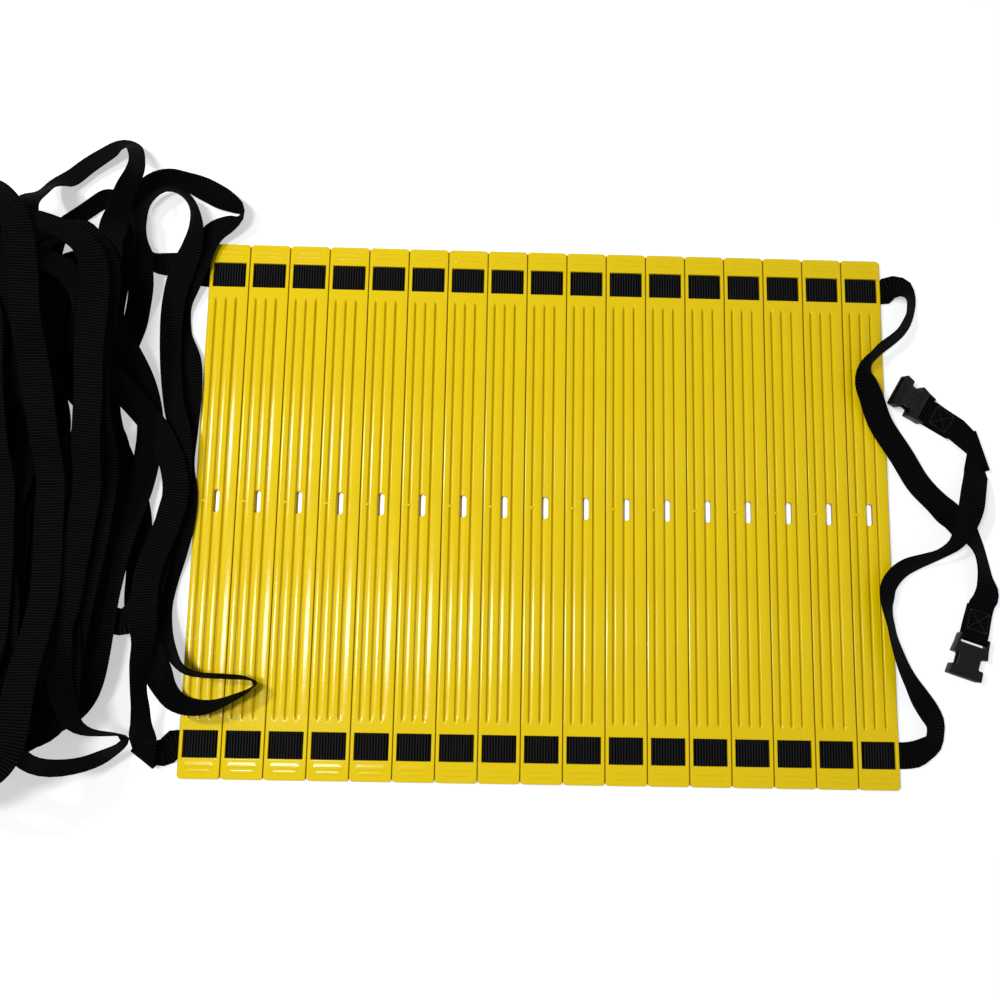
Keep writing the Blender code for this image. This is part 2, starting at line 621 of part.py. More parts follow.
def joined(pieces, ending):
    """All the sections of a strap: its laid pieces, the creases between them and its fold at a bar."""
    line, width_way, face_way = [], [], []
    cut, flip = 0, 1
    for number, (points, rolls) in enumerate(pieces):
        wide, face = frames_of(points, rolls)
        crease = []
        after_cut = 0
        if number + 1 < len(pieces):
            crease, after_cut = round_crease(points, pieces[number + 1][0], flip)
        along = np.concatenate([[0], np.cumsum(np.linalg.norm(np.diff(points, axis=0), axis=1))])
        used = (along >= cut) & (along < along[-1] - after_cut)
        for section in [*zip(points[used], flip * wide[used], flip * face[used]), *crease]:
            line.append(section[0])
            width_way.append(section[1])
            face_way.append(section[2])
        if crease:
            cut, flip = after_cut, -flip
    ahead = np.gradient(ending, axis=0)
    side = flip * np.cross([0, 0, 1], ending[0] - ending[-1])
    side /= np.linalg.norm(side)
    for middle, way in zip(ending, ahead):
        line.append(middle)
        width_way.append(side)
        face_way.append(np.cross(way / np.linalg.norm(way), side))
    return np.array(line), np.array(width_way), np.array(face_way)


def thinned(line, width_way, face_way):
    """Keeps the fewest sections that still follow the strap's bends and twists."""
    kept, turned, run = [0], 0, 0
    for i in range(1, len(line) - 1):
        turned += math.acos(min(1, float(face_way[i] @ face_way[i - 1])))
        run += math.dist(line[i], line[i - 1])
        slanted = [np.linalg.norm(width_way[k]) > 1 + SLANT_SHARE for k in (i - 1, i, i + 1)]
        if turned > TURN_PER_RUN or run > LONGEST_RUN or any(slanted):
            kept.append(i)
            turned, run = 0, 0
    kept.append(len(line) - 1)
    return line[kept], width_way[kept], face_way[kept]


def least_gap(line, width_way, face_way):
    """The smallest distance between far parts of one strap, measured between points on it."""
    steps = np.array(ACROSS_SHARES)[None, :, None] * STRAP_WIDTH
    points = (line[:, None, :] + steps * width_way[:, None, :]).reshape(-1, 3)
    along = np.concatenate([[0], np.cumsum(np.linalg.norm(np.diff(line, axis=0), axis=1))])
    along = np.repeat(along, len(ACROSS_SHARES))
    best, place = PILE_REACH, None
    for i in range(len(points)):
        apart = np.linalg.norm(points - points[i], axis=1)
        apart[abs(along - along[i]) < PILE_LAG + PILE_EASE] = PILE_REACH
        if apart.min() < best:
            best, place = float(apart.min()), points[i].round(3).tolist()
    return best - STRAP_THICKNESS, place


def loops(sizes, counts):
    """Route points of long loose loops, whose middle drifts as they are laid."""
    centre, half_width, half_height, drift, wander = sizes
    turns, quarter, turn_way = counts
    per_loop = 2 * (LOOP_STRAIGHT_POINTS + LOOP_BEND_POINTS)
    points = []
    total = round(turns * per_loop)
    for number in range(total):
        progress = number / per_loop
        part = (number + quarter * per_loop // 4) % per_loop
        upper = part < per_loop // 2
        spot = part % (per_loop // 2)
        if spot < LOOP_STRAIGHT_POINTS:
            share = (spot + 1) / (LOOP_STRAIGHT_POINTS + 1)
            x, y = half_width, (half_height - half_width) * (2 * share - 1)
            roll = LOOP_FLAT_ROLL
        else:
            angle = math.pi * (spot - LOOP_STRAIGHT_POINTS + 0.5) / LOOP_BEND_POINTS
            x, y = half_width * math.cos(angle), half_height - half_width + half_width * math.sin(angle)
            roll = LOOP_BEND_ROLL
        if not upper:
            x, y = -x, -y
        sway = math.sin(2.4 * progress * math.pi + quarter)
        nod = math.sin(1.7 * progress * math.pi + 2 * quarter)
        swell = 1 + SWELL_SHARE * math.sin(3.1 * progress + quarter)
        x = centre[0] + drift[0] * (progress / turns - 0.5) + wander[0] * sway + turn_way * x * swell
        y = centre[1] + drift[1] * (progress / turns - 0.5) + wander[1] * nod + y * (2 - swell) ** 0.5
        points.append((x, y, turn_way * roll * (1 + ROLL_CHANGE_SHARE * nod)))
    return points


def strap_routes():
    """The whole route of each free strap, from where it leaves the pack."""
    leave = PACK_HALF + FOLD_GAP
    tails, slacks = {}, {}
    for name, side in (("far", 1), ("near", -1)):
        y = side * WINDOW_Y
        tails[name] = [(leave, y, 0), (leave + EXIT_RUN, y, 0)]
        slacks[name] = [(-leave, y, 0), (-leave - EXIT_RUN, y, 0)]
    far_loops = [*loops(FAR_INNER, FAR_INNER_COUNTS), *loops(FAR_OUTER, FAR_OUTER_COUNTS)]
    near_inner, near_outer = loops(NEAR_INNER, NEAR_INNER_COUNTS), loops(NEAR_OUTER, NEAR_OUTER_COUNTS)
    return {
        "far_tail": [*tails["far"], *FAR_TAIL],
        "near_tail": [*tails["near"], *NEAR_TAIL],
        "far_slack": [*slacks["far"], *FAR_SLACK, *far_loops],
        "near_slack": [*slacks["near"], *NEAR_SLACK, *near_inner, *NEAR_CURL, *near_outer],
    }


def strap_line(part, route, pile):
    """A whole free strap, from the rung that it leaves to its fold round the buckle's bar."""
    bar, heading, tilt = BARS[part]
    heading = math.radians(heading)
    way = (math.cos(heading), math.sin(heading))
    back = [FOLD_BACK * share for share in APPROACH_SHARES]
    approach = [(bar[0] - far * way[0], bar[1] - far * way[1], 0) for far in back]
    pieces, piece = [], []
    for point in [*route, *approach]:
        if point is FOLD:
            pieces.append(piece)
            piece = [piece[-1]]
        else:
            piece.append(point)
    pieces.append(piece)
    laid_pieces, height = [], STRAP_LOW
    for number, piece in enumerate(pieces):
        ending = at_buckle if number + 1 == len(pieces) else None
        laid_pieces.append(laid(piece, pile, height, ending))
        height = None
    whole = joined(laid_pieces, fold_back(bar, heading))
    length = np.linalg.norm(np.diff(whole[0], axis=0), axis=1).sum()
    kept = thinned(*whole)
    gap, place = least_gap(*whole)
    print(f"{part}: length {length:.3f}, sections {len(kept[0])}, top {kept[0][:, 2].max():.3f},",
          f"least gap to itself {gap:.4f} at {place}")
    return kept


def buckle_outline(points):
    """A whole outline from its half at +Y, listed from the strap's side to the mouth."""
    return [*points, *[(x, -y) for x, y in reversed(points)]]


def bar_end(half):
    """Opens the back of a buckle half round a strap bar that its cheeks carry."""
    inside = STRAP_WIDTH / 2 + STRAP_SIDE_PLAY
    tall = BUCKLE_HEIGHT / 2 + BODY_OVERRUN
    cut = block((-BAR_RADIUS - BODY_OVERRUN, -inside, -tall), (BAR_SLOT, inside, tall))
    combine(half, cut, "DIFFERENCE")
    reach = inside + BUCKLE_CHEEK / 2
    combine(half, drum(BAR_RADIUS, -reach, reach, (0, 0, 0), "Y"), "UNION")


def socket_mesh():
    """The female half: shoulder, narrow waist open at the sides, and a mouth with a collar."""
    cheek = STRAP_WIDTH / 2 + STRAP_SIDE_PLAY + BUCKLE_CHEEK
    outline = buckle_outline([
        (-BAR_RADIUS, cheek - BUCKLE_CHAMFER), (BAR_SLOT, cheek), (SHOULDER_END, SHOULDER_WIDTH / 2),
        (SHOULDER_END, WAIST_WIDTH / 2), (WAIST_END, WAIST_WIDTH / 2),
        (WAIST_END, BUCKLE_WIDTH / 2 - BUCKLE_CHAMFER), (SOCKET_END, BUCKLE_WIDTH / 2),
    ])
    half = BUCKLE_HEIGHT / 2
    socket = scratch("socket", slab(outline, -half, half, BUCKLE_CHAMFER))
    hollow = block(
        (SOCKET_FLOOR, -SOCKET_WIDTH / 2, -SOCKET_HEIGHT / 2),
        (SOCKET_END + BODY_OVERRUN, SOCKET_WIDTH / 2, SOCKET_HEIGHT / 2),
    )
    combine(socket, hollow, "DIFFERENCE")
    bar_end(socket)
    return settled(socket)


def plug_mesh():
    """The male half's base and guide tongue; its two sprung arms are parts of their own."""
    cheek = STRAP_WIDTH / 2 + STRAP_SIDE_PLAY + BUCKLE_CHEEK
    outline = buckle_outline([
        (-BAR_RADIUS, cheek - BUCKLE_CHAMFER), (BAR_SLOT, cheek), (PLUG_BASE_END, SHOULDER_WIDTH / 2),
    ])
    half = BUCKLE_HEIGHT / 2
    plug = scratch("plug", slab(outline, -half, half, BUCKLE_CHAMFER))
    tongue = block(
        (PLUG_BASE_END - BODY_OVERRUN, -TONGUE_WIDTH / 2, -ARM_THICKNESS / 2),
        (TONGUE_END, TONGUE_WIDTH / 2, ARM_THICKNESS / 2),
    )
    combine(plug, tongue, "UNION")
    bar_end(plug)
    return settled(plug)


def arm_mesh(side):
    """A latch arm of the male half, about its own root: it bows out to the catch at its tip."""
    bow = (LATCH_START + ROOT_START) / 2
    middle = (ARM_ROOT + ARM_SPREAD) / 2
    thin = ARM_WIDTH / 2
    points = [
        (ROOT_START, ARM_ROOT - thin), (bow, middle - thin), (LATCH_START, ARM_SPREAD - thin),
        (ARM_END - ARM_WIDTH, ARM_SPREAD - thin), (ARM_END, ARM_SPREAD),
        (ARM_END - ARM_WIDTH, LATCH_OUT - thin), (LATCH_START, LATCH_OUT),
        (LATCH_START, ARM_SPREAD + thin), (bow, middle + thin), (ROOT_START, ARM_ROOT + thin),
    ]
    outline = [(x - ROOT_START, side * (y - ARM_ROOT)) for x, y in points]
    return slab(outline[::side], -ARM_THICKNESS / 2, ARM_THICKNESS / 2)


def build():
    plastic = material("rung_plastic", YELLOW, 0.28)
    webbing = material("webbing", BLACK_WEBBING, 0.85)
    black = material("buckle_plastic", BLACK_PLASTIC, 0.4)

    shared = rung_mesh()
    shared.shade_smooth()
    shared.set_sharp_from_angle(angle=SMOOTH_ANGLE)
    for number in range(RUNG_COUNT):
        rung = add(f"rung_{number + 1:02d}", shared, PARTS, plastic)
        rung.location.x = rung_x(number)

    pile = Pile()
    for side, name in ((1, "far"), (-1, "near")):
        add(f"strap_{name}_run", run_mesh(side * WINDOW_Y), PARTS, webbing)

    for part, route in strap_routes().items():
        name, end = part.split("_")
        kept = strap_line(part, route, pile)
        add(f"strap_{name}_{end}", ribbon(*kept), PARTS, webbing)

    socket, plug = socket_mesh(), plug_mesh()
    arms = {side: arm_mesh(side) for side in (-1, 1)}
    for name in ("far", "near"):
        for mesh, end, title in ((socket, "tail", "socket"), (plug, "slack", "plug")):
            bar, heading, tilt = BARS[f"{name}_{end}"]
            half = add(f"{title}_{name}", mesh, PARTS, black)
            half.location = (*bar, BAR_HEIGHT)
            half.rotation_euler = (0, -math.radians(tilt), math.radians(heading))
        turned = half.rotation_euler.to_matrix()
        for side, hand in ((-1, "right"), (1, "left")):
            arm = add(f"latch_{name}_{hand}", arms[side], PARTS, black)
            arm.location = half.location + turned @ Vector((ROOT_START, side * ARM_ROOT, 0))
            arm.rotation_euler = half.rotation_euler


start_clean()
PARTS = new_collection("agility_ladder")
CUTTERS = new_collection("cutters")
build()
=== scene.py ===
"""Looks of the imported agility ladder: moulded rungs, woven straps, buckles, floor and light.

Metres, +Z up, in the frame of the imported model. The routes of the straps are those of the part's
own source, so each visible strap lies where its solid does.
"""
import math

import bmesh
import bpy
import numpy as np
from mathutils import Euler, Matrix, Vector


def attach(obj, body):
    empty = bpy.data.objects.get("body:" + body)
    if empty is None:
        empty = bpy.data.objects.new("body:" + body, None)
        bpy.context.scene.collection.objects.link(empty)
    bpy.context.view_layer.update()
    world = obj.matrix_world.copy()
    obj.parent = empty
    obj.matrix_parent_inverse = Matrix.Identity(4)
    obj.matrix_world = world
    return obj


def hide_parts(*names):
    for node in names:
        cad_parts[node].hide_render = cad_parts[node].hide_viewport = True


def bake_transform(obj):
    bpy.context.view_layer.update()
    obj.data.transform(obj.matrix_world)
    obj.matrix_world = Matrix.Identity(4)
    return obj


# Rungs
RUNG_COUNT = 17
RUNG_LENGTH = 0.420
RUNG_WIDTH = 0.0312
RUNG_THICKNESS = 0.0042
RUNG_GAP = 0.0008
RUNG_CORNER = 0.003
GROOVE_WIDTH = 0.0023
GROOVE_DEPTH = 0.0013
GROOVE_SPACING = 0.0081
GROOVE_SHIFT = -0.0016
GROOVE_TO_WINDOW = 0.0075
GROOVE_RAMP = 0.004
SLOT_WIDTH = 0.0052
SLOT_LENGTH = 0.0175
SLOT_SHIFT = 0.0004
NUB_RADIUS = 0.0012
NUB_HEIGHT = 0.0002
NUB_FALL = 0.0004
GROOVE_LEVEL = 1.25
OUTER_ROUND = 0.0009
LOWER_ROUND = 0.0003
RIM_SHADE = 0.0007
RIM_SHADE_LEVEL = 1.2
GROOVE_SHADE = 0.75
SHADE_STEEPNESS = 2.2
# How far the slot's lower rim is pulled in on its left side: the sloping wall shows a strip of
# painted shade where the slot's shadow falls
SLOT_SHADOW_SLOPE = 0.0017
WINDOW_ROUND = 0.0005
SLOT_ROUND = 0.0005
BAND_CROWN = 0.00034
SHOWN_GAP = 0.00004
SHOWN_PLAY = 0.00012
CROWN_RAMP = 0.008

# Strap windows at the ends of a rung
TAB_LENGTH = 0.0152
SIDE_BAR = 0.0026
THREADING_SLOT = 0.005
LAND_HEIGHT = 0.0016
RIDGE_LENGTHS = (0.0225, 0.018)
RIDGE_WIDTH = 0.0016
RIDGE_HEIGHT = 0.00045
RIDGE_SPACING = 0.0039
RIDGE_LEVEL = 1.3
LAND_ROUND = 0.0003
WALL_STEP = 0.00002

# Webbing
STRAP_WIDTH = 0.020
STRAP_THICKNESS = 0.0013
STRAP_CLEARANCE = 0.0003
STRAP_SIDE_PLAY = 0.0005
THREAD_INSET = 0.0006
RUN_STEP = 0.0006
RUN_LEAST_STEPS = 6
WEAVE_PITCH = 0.0021
WEAVE_WOBBLE = WEAVE_PITCH / 5
YARN_PITCH = 0.0010
RIB_SHARE = 0.75
YARN_SHARE = 0.25
FUZZ_SHARE = 0.35
RIB_SHARPNESS = 3

# Buckle halves, which carry their strap bar at their own origin
BUCKLE_HEIGHT = 0.008
BUCKLE_WIDTH = 0.0260
BUCKLE_CHEEK = 0.0018
BUCKLE_EDGE = 0.0007
BAR_RADIUS = 0.0017
BAR_GAP = 0.0003
BAR_SLOT = 0.0062
SHOWN_BAR_SLOT = 0.0054
SHOULDER_WIDTH = 0.0272
SHOULDER_END = 0.0140
WAIST_WIDTH = 0.0167
WAIST_END = 0.0230
SOCKET_END = 0.0313
SOCKET_FLOOR = 0.0100
SOCKET_WIDTH = 0.0212
SOCKET_HEIGHT = 0.0046
PLUG_BASE_END = 0.0130
TONGUE_WIDTH = 0.0052
TONGUE_END = 0.0310
ARM_THICKNESS = 0.0036
ARM_WIDTH = 0.0024
ARM_ROOT = 0.0068
ARM_SPREAD = 0.0092
ARM_END = 0.0335
LATCH_START = 0.0216
LATCH_OUT = 0.0122
ARM_GAP = 0.0003
FLOOR_GAP = 0.0003
GRIP_LENGTH = 0.017
GRIP_WIDTH = 0.0009
GRIP_SUNK = 0.0004
GRIP_ROUND = 0.0003
SOCKET_GRIPS = 0.0026
SOCKET_GRIP_COUNT = 3
PLUG_GRIPS = 0.0022
PLUG_GRIP_COUNT = 2
PANEL_BACK = 0.0035
PANEL_FRONT = 0.0022
PANEL_HALF = 0.0052
PANEL_DEPTH = 0.0005
PANEL_OVERRUN = 0.001
PANEL_ROUND = 0.0016
TONGUE_ROUND = 0.0012
OUTLINE_ROUND = 0.0013
INNER_ROUND = 0.0008
BUCKLE_BEVEL = 0.00035
ARM_BEVEL = 0.0003
BEVEL_LIMIT = math.radians(32)
ROUND_SHARE = 0.45
ROUND_STEPS = 4
BEVEL_SEGMENTS = 3
BAR_SIDES = 24
GRIP_HEIGHT = 0.0003
GRIP_SPACING = 0.0018

# How the free webbing lies
FOLD_BACK = 0.026
FOLD_GAP = 0.0004
CREASE_MARGIN = 0.0035
PILE_GAP = 0.0014
PILE_CELL = 0.0025
PILE_STEP = 0.004
PILE_LAG = 0.046
PILE_EASE = 0.020
PILE_PASSES = 6
PILE_REACH = 0.700
EXIT_EASE = 0.030
EXIT_RUN = 0.004
BUCKLE_EASE = 0.006
BODY_OVERRUN = 0.002
WELD = 0.000001

# Stitching and loose threads
STITCH_LENGTH = 0.0021
STITCH_PITCH = 0.0027
STITCH_RADIUS = 0.00024
BOX_START = 0.0062
BOX_END = 0.0225
BOX_HALF = 0.0078
FIBRE_RADIUS = 0.00011
FIBRE_LENGTH = 0.0032
FIBRE_LENGTHS = (0.5, 1.2)
FIBRE_THICKNESSES = (0.8, 1.5)
FIBRE_SHARES = (0, 0.3, 0.6, 0.85, 1)
FIBRE_ZONE = 0.98
FIBRE_ROOT = 0.0004
FIBRE_LEAN = 0.8
FIBRE_BOW = 0.3
THREAD_SIDES = 6
FIBRE_SIDES = 5
TUBE_END_SHARE = 0.6

# Counts and shares
FOLD_SIDES = 12
ACROSS_SHARES = [-0.5, -0.375, -0.25, -0.125, 0, 0.125, 0.25, 0.375, 0.5]
CURVE_STEPS = 12
LOOP_STRAIGHT_POINTS = 3
LOOP_BEND_POINTS = 3
CREASE_STEPS = 8
CREASE_SHARE = 0.84
APPROACH_SHARES = [1, 0.5, 0]
FOLD_BACK_SHARES = [0.25, 0.5, 0.75, 1]
FOLD_LOW_SHARE = 0.5
SWELL_SHARE = 0.18
SWELL_RATE = 3.1
SWAY_RATE = 2.4
NOD_RATE = 1.7
ROLL_CHANGE_SHARE = 0.2
LOOP_FLAT_ROLL = 7
LOOP_BEND_ROLL = 26
SEED = 7

# The least angle that shows as an edge, in degrees, and the angle that counts as flat
WEB_SHARP = 50
RUNG_SHARP = 38
BUCKLE_SHARP = 40
FLAT_ANGLE = math.radians(0.4)

# Half of the outline of the webbing's cross-section, as shares of its half width and thickness
WEB_SHARES = [
    (-1, 0.35), (-0.985, 0.8), (-0.94, 1), (-0.86, 0.86), (-0.4, 0.9), (0, 0.92), (0.4, 0.9),
    (0.86, 0.86), (0.94, 1), (0.985, 0.8), (1, 0.35),
]

# Colours
WHITE = (1, 1, 1, 1)
YELLOW = (0.75, 0.55, 0.0)
YELLOW_DEEP = (0.69, 0.49, 0.0)
YELLOW_SHADED = (0.17, 0.075, 0.0)
WEB_DARK = (0.0004, 0.0004, 0.0005)
WEB_LIGHT = (0.006, 0.006, 0.0062)
# painted light: a lighter rib colour for the webbing threaded through the rungs, which makes up for
# the shade of the rung windows
WEB_LIGHT_PAINTED_BRIGHTER = (0.020, 0.020, 0.0205)
THREAD_BLACK = (0.006, 0.006, 0.007)
THREAD_GREY = (0.010, 0.010, 0.010)
PLASTIC_BLACK = (0.0022, 0.0022, 0.0026)
PLASTIC_WORN = (0.0055, 0.0055, 0.006)

# Camera: its lens and sensor are in millimetres
CAMERA_PLACE = (-0.049637, -0.115020, 0.776391)
CAMERA_TURN = (0.154252, -0.022123, 0.018843)
CAMERA_LENS = 36
CAMERA_SENSOR = 36

# The white floor: how far it reaches, where its own glow starts to rise and where it is full,
# the glow at both and the two tones of its lit part
FLOOR_REACH = 12.0
FLOOR_NEAR = 0.7
FLOOR_FAR = 1.5
FLOOR_GLOW = (0.50, 0.82)
FLOOR_TONES = ((0.61, 0.62, 0.64), (0.62, 0.63, 0.65))

# Light: the world's strength on the object, and each lamp's name, place, size and power
WORLD_LIGHT = 0.32
LAMPS = [
    ("key", (-0.45, -0.07, 1.40), (0.14, 0.27), 10.5),
    ("side", (-0.92, 0.35, 1.40), (0.14, 0.14), 11.0),
]

# What follows from the sizes above
PITCH = RUNG_WIDTH + RUNG_GAP
PACK_HALF = ((RUNG_COUNT - 1) * PITCH + RUNG_WIDTH) / 2
WINDOW_WIDTH = RUNG_WIDTH - 2 * SIDE_BAR
WINDOW_LENGTH = STRAP_WIDTH + 2 * STRAP_SIDE_PLAY
WINDOW_Y = RUNG_LENGTH / 2 - TAB_LENGTH - WINDOW_LENGTH / 2
LAND_WIDTH = WINDOW_WIDTH - 2 * THREADING_SLOT
SHOWN_WIDTH = PITCH - SHOWN_GAP
SHOWN_WINDOW = STRAP_WIDTH + 2 * SHOWN_PLAY
HALF_WIDTH, HALF_LENGTH = SHOWN_WIDTH / 2, RUNG_LENGTH / 2
WINDOW_LOW, WINDOW_HIGH = WINDOW_Y - SHOWN_WINDOW / 2, WINDOW_Y + SHOWN_WINDOW / 2
GROOVE_END = WINDOW_LOW - GROOVE_TO_WINDOW
GROOVES = [GROOVE_SHIFT + place * GROOVE_SPACING for place in (-1, 0, 1)]
RIDGES = [HALF_LENGTH - TAB_LENGTH / 2 + side * RIDGE_SPACING / 2 for side in (-1, 1)]
SLOT_RADIUS, SLOT_REACH = SLOT_WIDTH / 2, (SLOT_LENGTH - SLOT_WIDTH) / 2
STRAP_LOW = STRAP_CLEARANCE + STRAP_THICKNESS / 2
STRAP_HIGH = LAND_HEIGHT + STRAP_CLEARANCE + STRAP_THICKNESS / 2
BAR_UNDERSIDE = 2 * STRAP_CLEARANCE + STRAP_THICKNESS
WRAP_RADIUS = BAR_RADIUS + BAR_GAP + STRAP_THICKNESS / 2
BAR_HEIGHT = FLOOR_GAP + BUCKLE_HEIGHT / 2
ROOT_START = PLUG_BASE_END + ARM_GAP
STRAP_EXIT = PACK_HALF + FOLD_GAP

# Grid lines of a rung: at its rims, corners, grooves, ridges, slot and nub, on the plain parts
# between them, and how close two lines may lie
RIM_LINES = (0.00008, 0.00024, 0.00048, 0.0008)
CORNER_LINES = np.arange(0.0012, 0.0035, 0.0004)
GROOVE_SHARES = (0, 0.3, 0.5, 0.75, 1, 1.2)
RIDGE_SHARES = (-1.1, -0.8, -0.5, -0.2, 0.2, 0.5, 0.8, 1.1)
RAMP_LINES = np.arange(GROOVE_END - GROOVE_RAMP - 0.001, GROOVE_END + 0.001, 0.0005)
SLOT_END_LINES = np.arange(SLOT_REACH, SLOT_LENGTH / 2 + 0.0012, 0.00045)
NUB_LINES = np.arange(0.0003, 0.0018, 0.0003)
PLAIN_LINES = np.arange(0.004, HALF_LENGTH, 0.012)
SLOT_STEP = 0.0005
PLAIN_STEP = 0.0009
LEAST_ACROSS = 0.00014
LEAST_ALONG = 0.00006

UP = np.array([0, 0, 1])
FOLD = None

# Routes of the free webbing, as (x, y, roll) in millimetres and degrees: the roll is 0 lying flat
# and 90 standing on edge. At a FOLD the strap is folded flat over itself. A slack strap starts at
# the first rung and a tail at the last one.
FAR_SLACK = [
    (-283, 191, 0), (-297, 190, 1), (-310, 190, 15), (-321, 195, 45), (-329, 206, 66),
    (-334, 221, 75), (-333, 237, 79), (-328, 251, 82), (-317, 260, 80), (-304, 262, 72),
    (-291, 258, 59), (-278, 253, 41), (-266, 247, 41), (-255, 242, 62), (-247, 237, 78),
    (-249, 230, 51), (-256, 225, 27), (-268, 218, 9), (-275, 208, 4), (-280, 191, 0),
    (-287, 172, 0), (-294, 154, 0), (-293, 133, 0), (-283, 110, 0), (-281, 83, 0), (-282, 55, 0),
    (-283, 27, 0), (-279, 3, 0), (-280, -20, 0), (-284, -41, 0), (-290, -62, 0), (-292, -83, 5),
    (-287, -102, 31), (-279, -117, 49), (-269, -129, 66), (-256, -133, 78), (-237, -134, 80),
    (-221, -135, 82), (-214, -138, 84), (-218, -143, 82), (-231, -150, 74), (-246, -156, 64),
    (-260, -157, 57), (-272, -153, 53), (-281, -142, 45), (-288, -126, 0), (-297, -107, 0),
    (-307, -82, 0), (-309, -55, 0), (-312, -26, 0), (-318, -1, 0), (-328, 24, 0), (-340, 50, 0),
    (-346, 77, 0), (-343, 103, 0), (-334, 126, 0), (-327, 148, 0), (-321, 167, 0), (-322, 186, 0),
    (-325, 205, 59), (-326, 228, 85), (-321, 242, 106), (-310, 251, 108), (-298, 249, 94),
    (-288, 240, 72), (-283, 223, 46), (-284, 204, 20), (-291, 181, 0), (-296, 158, 13),
    (-297, 118, 20), (-291, 77, 26), (-283, 45, 21), (-283, 14, 6), (-289, -17, 0), (-294, -48, 0),
    (-299, -77, 0), (-313, -95, 0), (-333, -88, 0), (-356, -56, 0), (-375, -2, 0), (-391, 61, 0),
    (-402, 134, 0), (-401, 186, 0), (-394, 209, 63), (-382, 223, 81), (-367, 233, 83),
    (-349, 236, 72), (-337, 228, 42), (-333, 208, 16), (-334, 182, 3), (-343, 141, 0),
    (-351, 78, 0), (-351, -2, 0), (-336, -72, 0), (-335, -113, 5), (-354, -140, 27),
    (-377, -147, 47), (-401, -131, 54), (-425, -73, 0), (-446, 36, 0), (-458, 132, 0),
    (-457, 201, 54), (-440, 226, 60), (-413, 220, 43), (-396, 201, 22), (-390, 175, 3),
    (-386, 141, 0), (-380, 101, 0),
]
NEAR_SLACK = [
    (-280, -190, 0), (-288, -192, 0), (-295, -194, 0), FOLD, (-295, -183, 0), (-293, -172, 51),
    (-291, -158, 69), (-293, -144, 75), (-294, -126, 67), (-294, -108, 53), (-297, -87, 0),
    (-298, -62, 0), (-293, -39, 0), (-287, -17, 0), (-283, 4, 0), (-287, 27, 0), (-299, 50, 0),
    (-314, 69, 0), (-329, 86, 0), (-339, 103, 0), (-342, 122, 0), (-339, 140, 0), (-334, 157, 0),
    (-333, 174, 0), (-334, 194, 0), (-333, 212, 61), (-329, 229, 69), (-324, 246, 74),
    (-326, 266, 71), (-334, 282, 55), (-348, 288, 32), (-363, 281, 24), (-381, 268, 19),
    (-394, 252, 17), (-392, 228, 15), (-393, 211, 4), (-389, 188, 0), (-386, 156, 0),
    (-391, 111, 0),
]
NEAR_CURL = [
    (-392, -51, 0), (-382, -89, 0), (-379, -121, 4), (-369, -152, 17), (-364, -172, 29),
    (-355, -187, 36), (-343, -196, 45), (-330, -197, 57), (-314, -190, 70), (-301, -182, 86),
    (-299, -177, 98), (-308, -175, 90), (-320, -173, 84), (-328, -168, 78), (-336, -153, 64),
    (-342, -132, 50), (-346, -102, 0),
]
FAR_TAIL = [
    (280, 188, 0), (288, 186, -3), (292, 181, -30), (294, 174, -48), (293, 166, -54),
    (291, 159, -58), (286, 151, -61), (280, 144, -67), (273, 138, -69), (264, 131, -67),
    (257, 123, -64), (253, 116, -43), (253, 105, -13), (259, 91, 0), (267, 72, 0), (280, 51, 0),
    (295, 27, 0), (310, 8, 0), (323, -5, 47), (333, -15, -21), (339, -26, -40), (342, -39, -40),
    (343, -50, -30), (344, -59, -9),
]
NEAR_TAIL = [
    (284, -183, 0), (291, -179, 18), (297, -174, 27), (299, -167, 30), (299, -159, 26),
    (294, -150, 20), (288, -141, 24), (281, -129, 38), (275, -118, 44), (270, -106, 49),
    (267, -96, 53), (265, -85, 54), (263, -75, 50), (263, -65, 38), (265, -56, 36), (271, -48, 39),
    (279, -42, 46), (291, -37, 58), (301, -33, 64), (310, -27, 56), (316, -21, 38), (323, -10, 20),
    (329, 5, 0), (333, 19, 0), (342, 38, 0), (346, 53, 0), FOLD, (337, 61.5, 0),
]

# The loose loops of each slack strap: their middle, half width, half height, how far the middle
# drifts from the first to the last, how far each loop strays, how many loops there are, the quarter
# of a loop that they begin at, and the way that they turn
FAR_INNER = ((-0.380, -0.005), 0.036, 0.165, (0.020, 0.010), (0.015, 0.010), 2, 2, -1)
FAR_OUTER = ((-0.400, 0.010), 0.036, 0.176, (-0.080, 0.010), (0.012, 0.010), 3.75, 2, -1)
NEAR_INNER = ((-0.384, -0.004), 0.030, 0.172, (-0.030, 0.010), (0.022, 0.010), 3, 2, 1)
NEAR_OUTER = ((-0.425, -0.006), 0.036, 0.196, (-0.090, 0.000), (0.012, 0.012), 3.75, 0, 1)

# Where the strap bars lie, the way each buckle points, and how far its free end is propped up
BARS = {
    "far_tail": ((0.333, -0.095), -108, 0),
    "near_tail": ((0.304, 0.085), 150, 18),
    "far_slack": ((-0.600, 0.165), 115, 0),
    "near_slack": ((-0.588, -0.175), -120, 0),
}

# How many loose yarns the cut end of each free strap shows
YARN_ENDS = {"far_tail": 12, "near_tail": 26, "far_slack": 12, "near_slack": 12}


# --- Small helpers ---

def smooth_step(value):
    """A rise from 0 to 1 that starts and ends flat."""
    value = np.clip(value, 0, 1)
    return value**2 * (3 - 2 * value)


def unit(way):
    return way / np.linalg.norm(way)


def units(ways):
    """Each row at a length of 1."""
    return ways / np.linalg.norm(ways, axis=1)[:, None]


def lengths_along(line):
    """How far along a line each of its points lies."""
    return np.concatenate([[0], np.cumsum(np.linalg.norm(np.diff(line, axis=0), axis=1))])


def both(values):
    """The values with a minus sign, and then as they are."""
    return [sign * value for sign in (-1, 1) for value in values]


def add_object(name, data):
    made = bpy.data.objects.new(name, data)
    bpy.context.scene.collection.objects.link(made)
    return made


